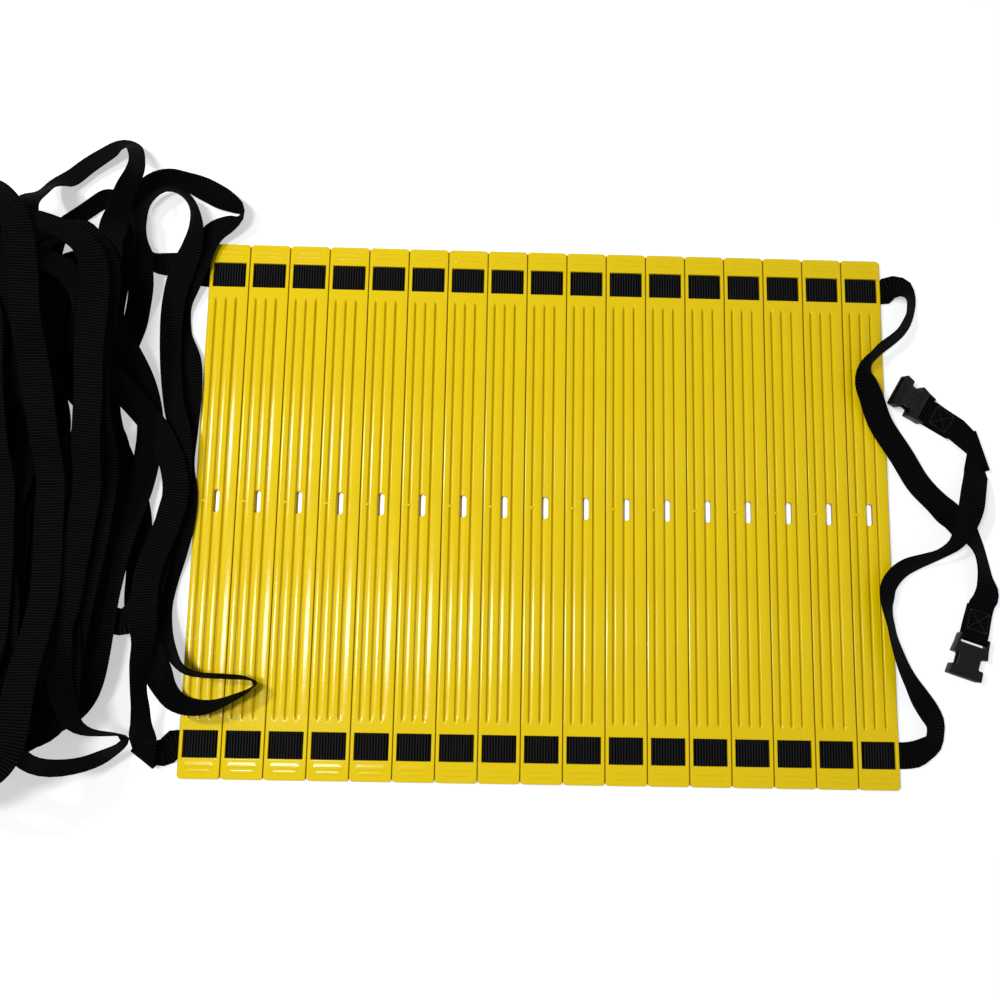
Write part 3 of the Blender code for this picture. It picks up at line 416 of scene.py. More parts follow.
def plain_mesh(bm, name):
    """The mesh of a bmesh, which is freed."""
    mesh = bpy.data.meshes.new(name)
    bm.to_mesh(mesh)
    bm.free()
    return mesh


def loft(bm, rings):
    """Adds the closed skin over a row of rings."""
    count = len(rings[0])
    for ring, following in zip(rings, rings[1:]):
        for k in range(count):
            after = (k + 1) % count
            bm.faces.new((ring[k], ring[after], following[after], following[k]))
    bm.faces.new(rings[0][::-1])
    bm.faces.new(rings[-1])


# --- Where the free webbing lies, worked out as in the part's source ---

def smooth_route(points):
    """Even samples (x, y, roll) of a smooth curve through the points of a route."""
    points = np.array(points, dtype=float)
    ends = np.vstack([2 * points[0] - points[1], points, 2 * points[-1] - points[-2]])
    fine = []
    for a, b, c, d in zip(ends, ends[1:], ends[2:], ends[3:]):
        pairs = (a, b), (b, c), (c, d)
        ab, bc, cd = (math.sqrt(max(math.dist(p[:2], q[:2]), WELD)) for p, q in pairs)
        leave = c - b + bc * ((b - a) / ab - (c - a) / (ab + bc))
        arrive = c - b + bc * ((d - c) / cd - (d - b) / (bc + cd))
        for step in range(CURVE_STEPS):
            t = step / CURVE_STEPS
            fine.append(
                (2 * t**3 - 3 * t**2 + 1) * b + (t**3 - 2 * t**2 + t) * leave
                + (3 * t**2 - 2 * t**3) * c + (t**3 - t**2) * arrive
            )
    fine = np.array([*fine, points[-1]])
    along = lengths_along(fine[:, :2])
    even = np.linspace(0, along[-1], round(along[-1] / PILE_STEP) + 1)
    return np.column_stack([np.interp(even, along, column) for column in fine.T])


class Pile:
    """The height of what already lies on the ground, in small square cells."""

    def __init__(self):
        self.count = round(2 * PILE_REACH / PILE_CELL)
        self.top = np.zeros(self.count * self.count)
        centre = (np.arange(self.count) + 0.5) * PILE_CELL - PILE_REACH
        x, y = np.meshgrid(centre, centre, indexing="ij")
        pack = (abs(x) < PACK_HALF) & (abs(y) < RUNG_LENGTH / 2)
        self.top[pack.ravel()] = RUNG_THICKNESS + RIDGE_HEIGHT

    def cells(self, x, y):
        column = ((np.stack([x, y]) + PILE_REACH) / PILE_CELL).astype(int).clip(1, self.count - 2)
        return column[0] * self.count + column[1]

    def cover(self, cells, heights):
        """Raises the cells and their neighbours to at least the heights."""
        for across in (-self.count, 0, self.count):
            for along in (-1, 0, 1):
                np.maximum.at(self.top, cells + across + along, heights)


def eased(heights, reach):
    """A smooth line that is nowhere below the heights."""
    raised = np.array([heights[max(0, i - reach):i + reach + 1].max() for i in range(len(heights))])
    weights = np.hanning(2 * reach + 3)[1:-1]
    padded = np.pad(raised, reach, mode="edge")
    return np.convolve(padded, weights / weights.sum(), mode="valid")


def laid(piece, pile, start_height, end_heights=None):
    """A strap's centreline over what lies there already, later turns over earlier ones."""
    samples = smooth_route(piece)
    count = len(samples)
    ahead = units(np.gradient(samples[:, :2], axis=0))
    turn = np.radians(samples[:, 2])[:, None]
    across = np.array(ACROSS_SHARES)[None, :] * STRAP_WIDTH
    sideways, rise = across * np.cos(turn), across * np.sin(turn)
    half = STRAP_THICKNESS / 2 * abs(np.cos(turn))
    cells = pile.cells(
        samples[:, :1] - sideways * ahead[:, 1:], samples[:, 1:2] + sideways * ahead[:, :1]
    )
    step = math.dist(samples[0, :2], samples[1, :2])
    lag, reach = round(PILE_LAG / step), round(PILE_EASE / step)
    start = smooth_step(np.arange(count) * step / EXIT_EASE)
    heights = np.zeros(count)
    base = pile.top.copy()
    for _ in range(PILE_PASSES):
        pile.top = base.copy()
        need = np.zeros(count)
        for i in range(count):
            if i >= lag:
                j = i - lag
                pile.cover(cells[j], max(heights[j], need[j]) + rise[j] + half[j])
            need[i] = (pile.top[cells[i]] - rise[i]).max() + half[i, 0] + PILE_GAP
        heights = eased(need, reach)
        if start_height is not None:
            heights = start_height * (1 - start) + heights * start
        if end_heights:
            left = (count - 1 - np.arange(count)) * step
            held, share = end_heights(left)
            heights = held * share + heights * (1 - share)
    for j in range(count):
        pile.cover(cells[j], heights[j] + rise[j] + half[j])
    return np.column_stack([samples[:, :2], heights]), samples[:, 2]


def at_buckle(left):
    """Height of a strap that runs up to its buckle, and how firmly it is held there, 0 to 1."""
    flat = FLOOR_GAP + STRAP_THICKNESS * 1.5 + 2 * FOLD_GAP
    top = BAR_HEIGHT + WRAP_RADIUS
    held = flat + (top - flat) * smooth_step(1 - left / FOLD_BACK)
    return held, smooth_step((FOLD_BACK + BUCKLE_EASE - left) / BUCKLE_EASE)


def fold_back(bar, heading):
    """Centreline of the strap's end round a buckle's bar and back under itself."""
    way = np.array([math.cos(heading), math.sin(heading), 0])
    middle = np.array([*bar, BAR_HEIGHT])
    line = []
    for step in range(FOLD_SIDES + 1):
        angle = math.pi / 2 - math.pi * step / FOLD_SIDES
        line.append(middle + WRAP_RADIUS * (math.cos(angle) * way + math.sin(angle) * UP))
    low = FLOOR_GAP + STRAP_THICKNESS / 2
    under = BAR_HEIGHT - WRAP_RADIUS
    for share in FOLD_BACK_SHARES:
        back = middle - FOLD_BACK * share * way
        back[2] = under + (low - under) * min(share / FOLD_LOW_SHARE, 1)
        line.append(back)
    return np.array(line)


def frames_of(line, rolls):
    """Side and face directions of a strap at each point of its centreline."""
    ahead = units(np.gradient(line, axis=0))
    side = units(np.column_stack([-ahead[:, 1], ahead[:, 0], np.zeros(len(ahead))]))
    turn = np.radians(rolls)[:, None]
    width_way = np.cos(turn) * side + np.sin(turn) * UP
    return width_way, units(np.cross(ahead, width_way))


def round_crease(before, after, flip):
    """Sections of a strap folded flat over itself, and the length of strap that they need."""
    ways = []
    for ahead in (before[-1] - before[-2], after[1] - after[0]):
        ahead[2] = 0
        ways.append(unit(ahead))
    crease, outward = unit(ways[0] + ways[1]), unit(ways[0] - ways[1])
    slant = float(crease @ np.cross(UP, ways[0]))
    radius = (after[0, 2] - before[-1, 2]) / 2
    sections = []
    for step in range(CREASE_STEPS + 1):
        angle = math.pi * step / CREASE_STEPS
        middle = before[-1] + radius * (math.sin(angle) * outward + (1 - math.cos(angle)) * UP)
        face = flip * (math.cos(angle) * UP - math.sin(angle) * outward)
        sections.append((middle, flip * CREASE_SHARE * crease / slant, face))
    return sections, STRAP_WIDTH / 2 * float(crease @ ways[0]) / abs(slant) + CREASE_MARGIN


def joined(pieces, ending):
    """All the sections of a strap: its laid pieces, their creases and its fold at a bar."""
    line, width_way, face_way = [], [], []
    cut, flip = 0, 1
    for number, (points, rolls) in enumerate(pieces):
        wide, face = frames_of(points, rolls)
        crease = []
        after_cut = 0
        if number + 1 < len(pieces):
            crease, after_cut = round_crease(points, pieces[number + 1][0], flip)
        along = lengths_along(points)
        used = (along >= cut) & (along < along[-1] - after_cut)
        for section in [*zip(points[used], flip * wide[used], flip * face[used]), *crease]:
            line.append(section[0])
            width_way.append(section[1])
            face_way.append(section[2])
        if crease:
            cut, flip = after_cut, -flip
    side = unit(flip * np.cross(UP, ending[0] - ending[-1]))
    for middle, way in zip(ending, np.gradient(ending, axis=0)):
        line.append(middle)
        width_way.append(side)
        face_way.append(np.cross(unit(way), side))
    return np.array(line), np.array(width_way), np.array(face_way)


def loops(centre, half_width, half_height, drift, wander, turns, quarter, turn_way):
    """Route points of long loose loops, whose middle drifts as they are laid."""
    per_loop = 2 * (LOOP_STRAIGHT_POINTS + LOOP_BEND_POINTS)
    points = []
    total = round(turns * per_loop)
    for number in range(total):
        progress = number / per_loop
        part = (number + quarter * per_loop // 4) % per_loop
        upper = part < per_loop // 2
        spot = part % (per_loop // 2)
        if spot < LOOP_STRAIGHT_POINTS:
            share = (spot + 1) / (LOOP_STRAIGHT_POINTS + 1)
            x, y = half_width, (half_height - half_width) * (2 * share - 1)
            roll = LOOP_FLAT_ROLL
        else:
            angle = math.pi * (spot - LOOP_STRAIGHT_POINTS + 0.5) / LOOP_BEND_POINTS
            x = half_width * math.cos(angle)
            y = half_height - half_width + half_width * math.sin(angle)
            roll = LOOP_BEND_ROLL
        if not upper:
            x, y = -x, -y
        sway = math.sin(SWAY_RATE * progress * math.pi + quarter)
        nod = math.sin(NOD_RATE * progress * math.pi + 2 * quarter)
        swell = 1 + SWELL_SHARE * math.sin(SWELL_RATE * progress + quarter)
        drifted = progress / turns - 0.5
        x = centre[0] + drift[0] * drifted + wander[0] * sway + turn_way * x * swell
        y = centre[1] + drift[1] * drifted + wander[1] * nod + y * (2 - swell) ** 0.5
        points.append((x, y, turn_way * roll * (1 + ROLL_CHANGE_SHARE * nod)))
    return points


def metres(route):
    """A route in metres, with its folds."""
    return [point and (point[0] / 1000, point[1] / 1000, point[2]) for point in route]


def strap_routes():
    """The whole route of each free strap, from where it leaves the pack."""
    routes = {
        "far_tail": metres(FAR_TAIL),
        "near_tail": metres(NEAR_TAIL),
        "far_slack": [*metres(FAR_SLACK), *loops(*FAR_INNER), *loops(*FAR_OUTER)],
        "near_slack": [
            *metres(NEAR_SLACK), *loops(*NEAR_INNER), *metres(NEAR_CURL), *loops(*NEAR_OUTER),
        ],
    }
    for part, route in routes.items():
        y = WINDOW_Y if part.startswith("far") else -WINDOW_Y
        way = 1 if part.endswith("tail") else -1
        routes[part] = [(way * STRAP_EXIT, y, 0), (way * (STRAP_EXIT + EXIT_RUN), y, 0), *route]
    return routes


def strap_line(part, route, pile):
    """A whole free strap, from the rung that it leaves to its fold round the buckle's bar."""
    bar, heading, _ = BARS[part]
    heading = math.radians(heading)
    way = (math.cos(heading), math.sin(heading))
    back = [FOLD_BACK * share for share in APPROACH_SHARES]
    approach = [(bar[0] - far * way[0], bar[1] - far * way[1], 0) for far in back]
    pieces, piece = [], []
    for point in [*route, *approach]:
        if point is FOLD:
            pieces.append(piece)
            piece = [piece[-1]]
        else:
            piece.append(point)
    pieces.append(piece)
    laid_pieces, height = [], STRAP_LOW
    for number, piece in enumerate(pieces):
        ending = at_buckle if number + 1 == len(pieces) else None
        laid_pieces.append(laid(piece, pile, height, ending))
        height = None
    return joined(laid_pieces, fold_back(bar, heading))


# --- Materials ---

class Nodes:
    """A tree of shader nodes, with short ways to add and join them."""

    def __init__(self, tree):
        self.tree = tree

    def add(self, kind, **settings):
        made = self.tree.nodes.new("ShaderNode" + kind)
        for name, value in settings.items():
            setattr(made, name, value)
        return made

    def join(self, start, end):
        self.tree.links.new(start, end)

    def math(self, operation, *values):
        made = self.add("Math", operation=operation)
        for socket, value in zip(made.inputs, values):
            if isinstance(value, (int, float)):
                socket.default_value = value
            else:
                self.join(value, socket)
        return made.outputs[0]

    def wave(self, place, pitch):
        """A wave from 0 to 1 along a place."""
        wave = self.math("SINE", self.math("MULTIPLY", place, 2 * math.pi / pitch))
        return self.math("MULTIPLY_ADD", wave, 0.5, 0.5)

    def between(self, share, low, high):
        """A value from low to high as share goes from 0 to 1."""
        made = self.add("MapRange")
        made.inputs["To Min"].default_value = low
        made.inputs["To Max"].default_value = high
        self.join(share, made.inputs["Value"])
        return made.outputs[0]


class Paint(Nodes):
    """A procedural material: its shader, and textures that go by metres on the piece."""

    def __init__(self, name):
        self.material = bpy.data.materials.new(name)
        self.material.use_nodes = True
        super().__init__(self.material.node_tree)
        self.shader = self.tree.nodes["Principled BSDF"]
        self.coords = self.add("TexCoord")
        self.place = self.coords.outputs["Object"]

    def noise(self, scale, detail):
        made = self.add("TexNoise")
        made.inputs["Scale"].default_value = scale
        made.inputs["Detail"].default_value = detail
        self.join(self.place, made.inputs["Vector"])
        return made.outputs["Fac"]

    def blend(self, share, first, second):
        made = self.add("Mix", data_type="RGBA")
        for name, value in zip(("A", "B"), (first, second)):
            socket = [s for s in made.inputs if s.name == name and s.type == "RGBA"][0]
            if isinstance(value, tuple):
                socket.default_value = (*value, 1)
            else:
                self.join(value, socket)
        self.join(share, made.inputs["Factor"])
        return [s for s in made.outputs if s.type == "RGBA"][0]

    def bump(self, height, distance, under=None):
        made = self.add("Bump")
        made.inputs["Distance"].default_value = distance
        self.join(height, made.inputs["Height"])
        if under:
            self.join(under, made.inputs["Normal"])
        return made.outputs["Normal"]

    def finish(self, colour, roughness, normal, specular):
        self.join(colour, self.shader.inputs["Base Color"])
        self.join(roughness, self.shader.inputs["Roughness"])
        self.join(normal, self.shader.inputs["Normal"])
        if isinstance(specular, float):
            self.shader.inputs["Specular IOR Level"].default_value = specular
        else:
            self.join(specular, self.shader.inputs["Specular IOR Level"])
        return self.material


def rung_paint():
    """Glossy moulded yellow, a little uneven in colour and polish, with painted shade down its
    grooves, at its rims and down its walls.
    """
    paint = Paint("yellow_moulding")
    broad = paint.noise(scale=22, detail=3)
    cloudy = paint.noise(scale=180, detail=3)
    skin = paint.noise(scale=1500, detail=2)
    colour = paint.blend(broad, YELLOW_DEEP, YELLOW)
    shade = paint.add("Attribute", attribute_name="shade").outputs["Fac"]
    # painted shade: the shade attribute darkens the yellow towards a shaded brown
    colour = paint.blend(shade, colour, YELLOW_SHADED)
    roughness = paint.between(cloudy, low=0.08, high=0.19)
    normal = paint.bump(skin, distance=0.000015, under=paint.bump(cloudy, distance=0.00003))
    specular = paint.between(shade, low=0.16, high=0.0)
    return paint.finish(colour, roughness, normal, specular)


def webbing_paint(name, straight):
    """Black ribbed webbing: ribs across and warp yarns along."""
    paint = Paint(name)
    split = paint.add("SeparateXYZ")
    paint.join(paint.coords.outputs["Object" if straight else "UV"], split.inputs[0])
    along, across = split.outputs["X"], split.outputs["Y"]
    if straight:
        across = paint.math("SUBTRACT", paint.math("ABSOLUTE", across), WINDOW_Y)
    wobble = paint.noise(scale=400, detail=2)
    fuzz = paint.noise(scale=3000, detail=2)
    bent = paint.math("ADD", along, paint.math("MULTIPLY", wobble, WEAVE_WOBBLE))
    rib, yarn = paint.wave(bent, WEAVE_PITCH), paint.wave(across, YARN_PITCH)
    height = paint.math("MULTIPLY", rib, RIB_SHARE)
    for part, share in ((yarn, YARN_SHARE), (fuzz, FUZZ_SHARE)):
        height = paint.math("ADD", height, paint.math("MULTIPLY", part, share))
    # painted light: the threaded webbing gets the lighter rib colour to make up for the shade in
    # the rung windows
    light = WEB_LIGHT_PAINTED_BRIGHTER if straight else WEB_LIGHT
    colour = paint.blend(paint.math("POWER", rib, RIB_SHARPNESS), WEB_DARK, light)
    roughness = paint.between(fuzz, low=0.78, high=0.95)
    return paint.finish(colour, roughness, paint.bump(height, distance=0.00026), specular=0.025)


def thread_paint():
    """Black sewing thread with a faint twist."""
    paint = Paint("black_thread")
    twist = paint.noise(scale=4000, detail=1)
    colour = paint.blend(twist, THREAD_BLACK, THREAD_GREY)
    roughness = paint.between(twist, low=0.5, high=0.75)
    return paint.finish(colour, roughness, paint.bump(twist, distance=0.00008), specular=0.3)


def buckle_paint():
    """Black moulded nylon with a fine grain and slightly polished patches."""
    paint = Paint("black_moulding")
    grain = paint.noise(scale=2200, detail=3)
    rubbed = paint.noise(scale=130, detail=3)
    colour = paint.blend(rubbed, PLASTIC_BLACK, PLASTIC_WORN)
    roughness = paint.between(rubbed, low=0.30, high=0.52)
    return paint.finish(colour, roughness, paint.bump(grain, distance=0.00005), specular=0.12)


def where_seen(nodes, low, high):
    """The high value for rays from the camera and for what gloss or glass shows, else the low."""
    path = nodes.add("LightPath")
    share = path.outputs["Is Camera Ray"]
    for name in ("Is Glossy Ray", "Is Transmission Ray"):
        share = nodes.math("MAXIMUM", share, path.outputs[name])
    return nodes.between(share, low, high)


def floor_paint():
    """A white sweep, lit so that it keeps the shadow. Its glow rises away from the pack."""
    paint = Paint("white_sweep")
    paint.tree.nodes.remove(paint.shader)
    away = paint.add("VectorMath", operation="LENGTH")
    paint.join(paint.place, away.inputs[0])
    sweep = paint.between(away.outputs["Value"], *FLOOR_GLOW)
    sweep.node.inputs["From Min"].default_value = FLOOR_NEAR
    sweep.node.inputs["From Max"].default_value = FLOOR_FAR
    glow = paint.add("Emission")
    glow.inputs["Color"].default_value = WHITE
    paint.join(paint.math("MULTIPLY", where_seen(paint, 0, 1), sweep), glow.inputs["Strength"])
    lit = paint.add("BsdfDiffuse")
    speckle = paint.noise(scale=30, detail=2)
    paint.join(paint.blend(speckle, *FLOOR_TONES), lit.inputs["Color"])
    total = paint.add("AddShader")
    paint.join(lit.outputs[0], total.inputs[0])
    paint.join(glow.outputs[0], total.inputs[1])
    paint.join(total.outputs[0], paint.tree.nodes["Material Output"].inputs["Surface"])
    return paint.material


# --- Pieces ---

def piece(name, mesh, paint, body, slot):
    """A shown object that rides on a body, or on none yet where body is None."""
    made = add_object(name, mesh)
    if not mesh.materials:
        mesh.materials.append(paint)
    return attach(made, body) if body else made


def mesh_of(bm, name, sharp=None):
    """The finished mesh of a bmesh, smooth apart from edges sharper than the angle."""
    bmesh.ops.recalc_face_normals(bm, faces=bm.faces)
    mesh = plain_mesh(bm, name)
    mesh.shade_smooth()
    if sharp:
        mesh.set_sharp_from_angle(angle=math.radians(sharp))
    return mesh


def web_mesh(name, line, width_way, face_way):
    """Webbing with rounded selvedges, lofted along its centreline. Its UVs are metres."""
    ring_shares = [*WEB_SHARES, *[(a, -b) for a, b in reversed(WEB_SHARES)]]
    half_w, half_t = STRAP_WIDTH / 2, STRAP_THICKNESS / 2
    bm = bmesh.new()
    grid = bm.loops.layers.uv.new("UVMap")
    rings, spots = [], {}
    for middle, wide, face, distance in zip(line, width_way, face_way, lengths_along(line)):
        ring = []
        for a, b in ring_shares:
            vert = bm.verts.new(middle + a * half_w * wide + b * half_t * face)
            spots[vert] = (float(distance), a * half_w)
            ring.append(vert)
        rings.append(ring)
    loft(bm, rings)
    for face in bm.faces:
        for loop in face.loops:
            loop[grid].uv = spots[loop.vert]
    return mesh_of(bm, name, WEB_SHARP)


def tube(bm, points, radius, sides):
    """Adds a thin closed tube along a few points."""
    points = [Vector(p) for p in points]
    rings = []
    for i, middle in enumerate(points):
        ahead = (points[min(i + 1, len(points) - 1)] - points[max(i - 1, 0)]).normalized()
        side = ahead.orthogonal().normalized()
        other = ahead.cross(side)
        thin = radius * (TUBE_END_SHARE if i in (0, len(points) - 1) else 1)
        rings.append([
            bm.verts.new(middle + thin * (math.cos(t) * side + math.sin(t) * other))
            for t in (2 * math.pi * k / sides for k in range(sides))
        ])
    loft(bm, rings)


def stitching(name, sections):
    """A sewn box with a cross in it, where the strap's end is folded back under itself."""
    line, width_way, face_way = sections
    start = len(line) - len(FOLD_BACK_SHARES) - FOLD_SIDES - 1
    away = lengths_along(line[:start + 1][::-1])

    def on_strap(back, across):
        i = min(int(np.searchsorted(away, back)), len(away) - 1)
        k = start - i
        share = (away[i] - back) / max(away[i] - away[i - 1], WELD)
        middle = line[k] * (1 - share) + line[k + 1] * share
        face = face_way[k] if face_way[k][2] > 0 else -face_way[k]
        return middle + across * width_way[k] + (STRAP_THICKNESS / 2 - STITCH_RADIUS / 4) * face

    near, far = (BOX_START, -BOX_HALF), (BOX_END, -BOX_HALF)
    across_far, across_near = (BOX_END, BOX_HALF), (BOX_START, BOX_HALF)
    corners = [near, far, across_far, across_near]
    rows = [*zip(corners, corners[1:] + corners[:1]), (near, across_far), (far, across_near)]
    bm = bmesh.new()
    for first, last in rows:
        span = math.dist(first, last)
        count = round(span / STITCH_PITCH)
        for n in range(count):
            points = []
            for share in (-1, 0, 1):
                at = (n + 0.5) / count + share * (STITCH_LENGTH / 2 / span)
                points.append(on_strap(*(a + (b - a) * at for a, b in zip(first, last))))
            tube(bm, points, STITCH_RADIUS, THREAD_SIDES)
    return mesh_of(bm, name)


def fibres(name, sections, count, random):
    """Loose yarn ends at the cut end of a strap."""
    line, width_way = sections[:2]
    out = unit(line[-1] - line[-2])
    bm = bmesh.new()
    for _ in range(count):
        across = random.uniform(-1, 1) * STRAP_WIDTH / 2 * FIBRE_ZONE
        lean = random.uniform(-FIBRE_LEAN, FIBRE_LEAN) + across / STRAP_WIDTH * 2 * FIBRE_LEAN
        length = FIBRE_LENGTH * random.uniform(*FIBRE_LENGTHS)
        start = line[-1] + across * width_way[-1] - FIBRE_ROOT * out
        way = unit(out + lean * width_way[-1])
        bow = random.uniform(-FIBRE_BOW, FIBRE_BOW) * width_way[-1]
        points = [start + length * (t * way + t * t * bow) for t in FIBRE_SHARES]
        for point in points:
            point[2] = max(point[2], 2 * FIBRE_RADIUS)
        tube(bm, points, FIBRE_RADIUS * random.uniform(*FIBRE_THICKNESSES), FIBRE_SIDES)
    return mesh_of(bm, name)


def run_heights(offset):
    """Height of the woven run at a distance from a rung's middle."""
    window, land = WINDOW_WIDTH / 2 - THREAD_INSET, LAND_WIDTH / 2 + THREAD_INSET
    share = smooth_step((window - abs(offset)) / (window - land))
    return STRAP_LOW + (STRAP_HIGH - STRAP_LOW) * share


def run_piece(name, low, high, middle, y):
    """A length of the run between two places on X, about the rung whose middle is given."""
    x = np.linspace(low, high, max(round((high - low) / RUN_STEP), RUN_LEAST_STEPS) + 1)
    line = np.column_stack([x, np.full(len(x), y), run_heights(x - middle)])
    return web_mesh(name, line, *frames_of(line, np.zeros(len(line))))


def spaced(edges, fill, least):
    """Grid lines at all the edges, and at what else is far enough from the lines so far."""
    kept = sorted(set(edges))
    for value in fill:
        if min(edges) < value < max(edges) and min(abs(value - k) for k in kept) > least:
            kept.append(value)
    return np.array(sorted(kept))


def dip(distance, radius):
    """How far a rounded edge has fallen at a distance inside it."""
    inside = radius - np.clip(distance, 0, radius)
    return radius - np.sqrt(np.maximum(radius**2 - inside**2, 0))


def rung_lines():
    """The grid lines of a rung, across and along it."""
    window, land = WINDOW_WIDTH / 2, LAND_WIDTH / 2
    slot = (SLOT_SHIFT - SLOT_RADIUS, SLOT_SHIFT + SLOT_RADIUS)
    fill = both([HALF_WIDTH - r for r in RIM_LINES]) + both([window + r for r in RIM_LINES])
    for groove in GROOVES:
        fill += [groove + s * GROOVE_WIDTH / 2 * t for s in (-1, 1) for t in GROOVE_SHARES]
    fill += both([land - LAND_ROUND]) + [slot[0] - SLOT_ROUND, slot[1] + SLOT_ROUND]
    fill += [*np.arange(*slot, SLOT_STEP), *np.arange(-HALF_WIDTH, HALF_WIDTH, PLAIN_STEP)]
    xs = spaced([*both([HALF_WIDTH, window, land]), *slot], fill, LEAST_ACROSS)

    walls = [WINDOW_LOW, WINDOW_LOW + WALL_STEP, WINDOW_HIGH - WALL_STEP, WINDOW_HIGH]
    fill = both([HALF_LENGTH - r for r in (*RIM_LINES, *CORNER_LINES)])
    fill += both([WINDOW_LOW - r for r in RIM_LINES]) + both([WINDOW_HIGH + r for r in RIM_LINES])
    for s in (-1, 1):
        for ridge in RIDGES:
            fill += [s * (ridge + t * RIDGE_WIDTH / 2) for t in RIDGE_SHARES]
        for spots in (RAMP_LINES, SLOT_END_LINES, NUB_LINES, PLAIN_LINES):
            fill += list(s * spots)
    return xs, spaced([*both([HALF_LENGTH, *walls]), 0], fill, LEAST_ALONG)


def groove_depth(x, steepness):
    """How deep in a groove each place is, 0 to 1, whatever its place along the rung."""
    depth = np.zeros_like(x)
    for middle in GROOVES:
        away = abs(x - middle) / (GROOVE_WIDTH / 2)
        depth = np.maximum(depth, smooth_step(GROOVE_LEVEL - steepness * away))
    return depth


def rung_tops(x, y):
    """Upper height of a rung over its own plan."""
    corner_x, corner_y = abs(x) - (HALF_WIDTH - RUNG_CORNER), abs(y) - (HALF_LENGTH - RUNG_CORNER)
    to_rim = np.where(
        (corner_x > 0) & (corner_y > 0), RUNG_CORNER - np.hypot(corner_x, corner_y),
        np.minimum(HALF_WIDTH - abs(x), HALF_LENGTH - abs(y)),
    )
    from_window = (abs(x) - WINDOW_WIDTH / 2, abs(abs(y) - WINDOW_Y) - SHOWN_WINDOW / 2)
    to_window = np.hypot(np.maximum(from_window[0], 0), np.maximum(from_window[1], 0))
    to_slot = np.hypot(x - SLOT_SHIFT, np.maximum(abs(y) - SLOT_REACH, 0)) - SLOT_RADIUS
    fall = np.maximum(dip(to_rim, OUTER_ROUND), dip(to_window, WINDOW_ROUND))
    fall = np.maximum(fall, dip(to_slot, SLOT_ROUND))

    groove = groove_depth(x, GROOVE_LEVEL)
    edges = [g + s * GROOVE_WIDTH / 2 for g in GROOVES for s in (-1, 1)]
    ends = [-HALF_WIDTH, *edges, HALF_WIDTH]
    crown = np.zeros_like(x)
    for left, right in zip(ends[::2], ends[1::2]):
        share = (2 * x - left - right) / (right - left)
        crown = np.where(abs(share) <= 1, share**2, crown)
    crown = np.where(groove > 0, 1, crown)

    inner = smooth_step((GROOVE_END - abs(y)) / GROOVE_RAMP)
    crowned = smooth_step((GROOVE_END - abs(y)) / CROWN_RAMP)
    height = RUNG_THICKNESS - fall - inner * GROOVE_DEPTH * groove - crowned * BAND_CROWN * crown
    for ridge, length in zip(RIDGES, RIDGE_LENGTHS):
        away = abs(abs(y) - ridge) / (RIDGE_WIDTH / 2)
        end = smooth_step((length / 2 - abs(x)) / RIDGE_WIDTH)
        height += RIDGE_HEIGHT * end * smooth_step(RIDGE_LEVEL * (1 - away))
    nub = np.hypot(x - GROOVES[0], y) / NUB_RADIUS
    nub_height = RUNG_THICKNESS + NUB_HEIGHT - NUB_FALL * nub**4
    height = np.where(nub < 1, np.maximum(height, nub_height), height)
    on_land = (abs(x) <= LAND_WIDTH / 2 + WELD) & (from_window[1] < -WELD)
    return np.where(on_land, LAND_HEIGHT - dip(LAND_WIDTH / 2 - abs(x), LAND_ROUND), height)


def rung_shade(x, y):
    """How far the upper face lies in its own shade: down its grooves and at its rims."""
    groove = groove_depth(x, SHADE_STEEPNESS) * smooth_step((GROOVE_END - abs(y)) / GROOVE_RAMP)
    groove *= np.hypot(x - GROOVES[0], y) > NUB_RADIUS
    rim = smooth_step(RIM_SHADE_LEVEL * (1 - (HALF_WIDTH - abs(x)) / RIM_SHADE))
    return np.maximum(GROOVE_SHADE * groove, rim)


def rung_bottoms(x, y):
    """Lower height of a rung over its own plan: its side bars leave room for the strap."""
    beside = abs(x) > LAND_WIDTH / 2 + THREADING_SLOT / 2
    beside &= abs(abs(y) - WINDOW_Y) < SHOWN_WINDOW / 2 - WELD
    to_rim = np.minimum(HALF_WIDTH - abs(x), HALF_LENGTH - abs(y))
    return np.where(beside, BAR_UNDERSIDE, 0) + dip(to_rim, LOWER_ROUND)


def at_corners(cells):
    """The grid points that are a corner of at least one of the cells."""
    padded = np.pad(cells, 1)
    return padded[1:, 1:] | padded[:-1, 1:] | padded[1:, :-1] | padded[:-1, :-1]


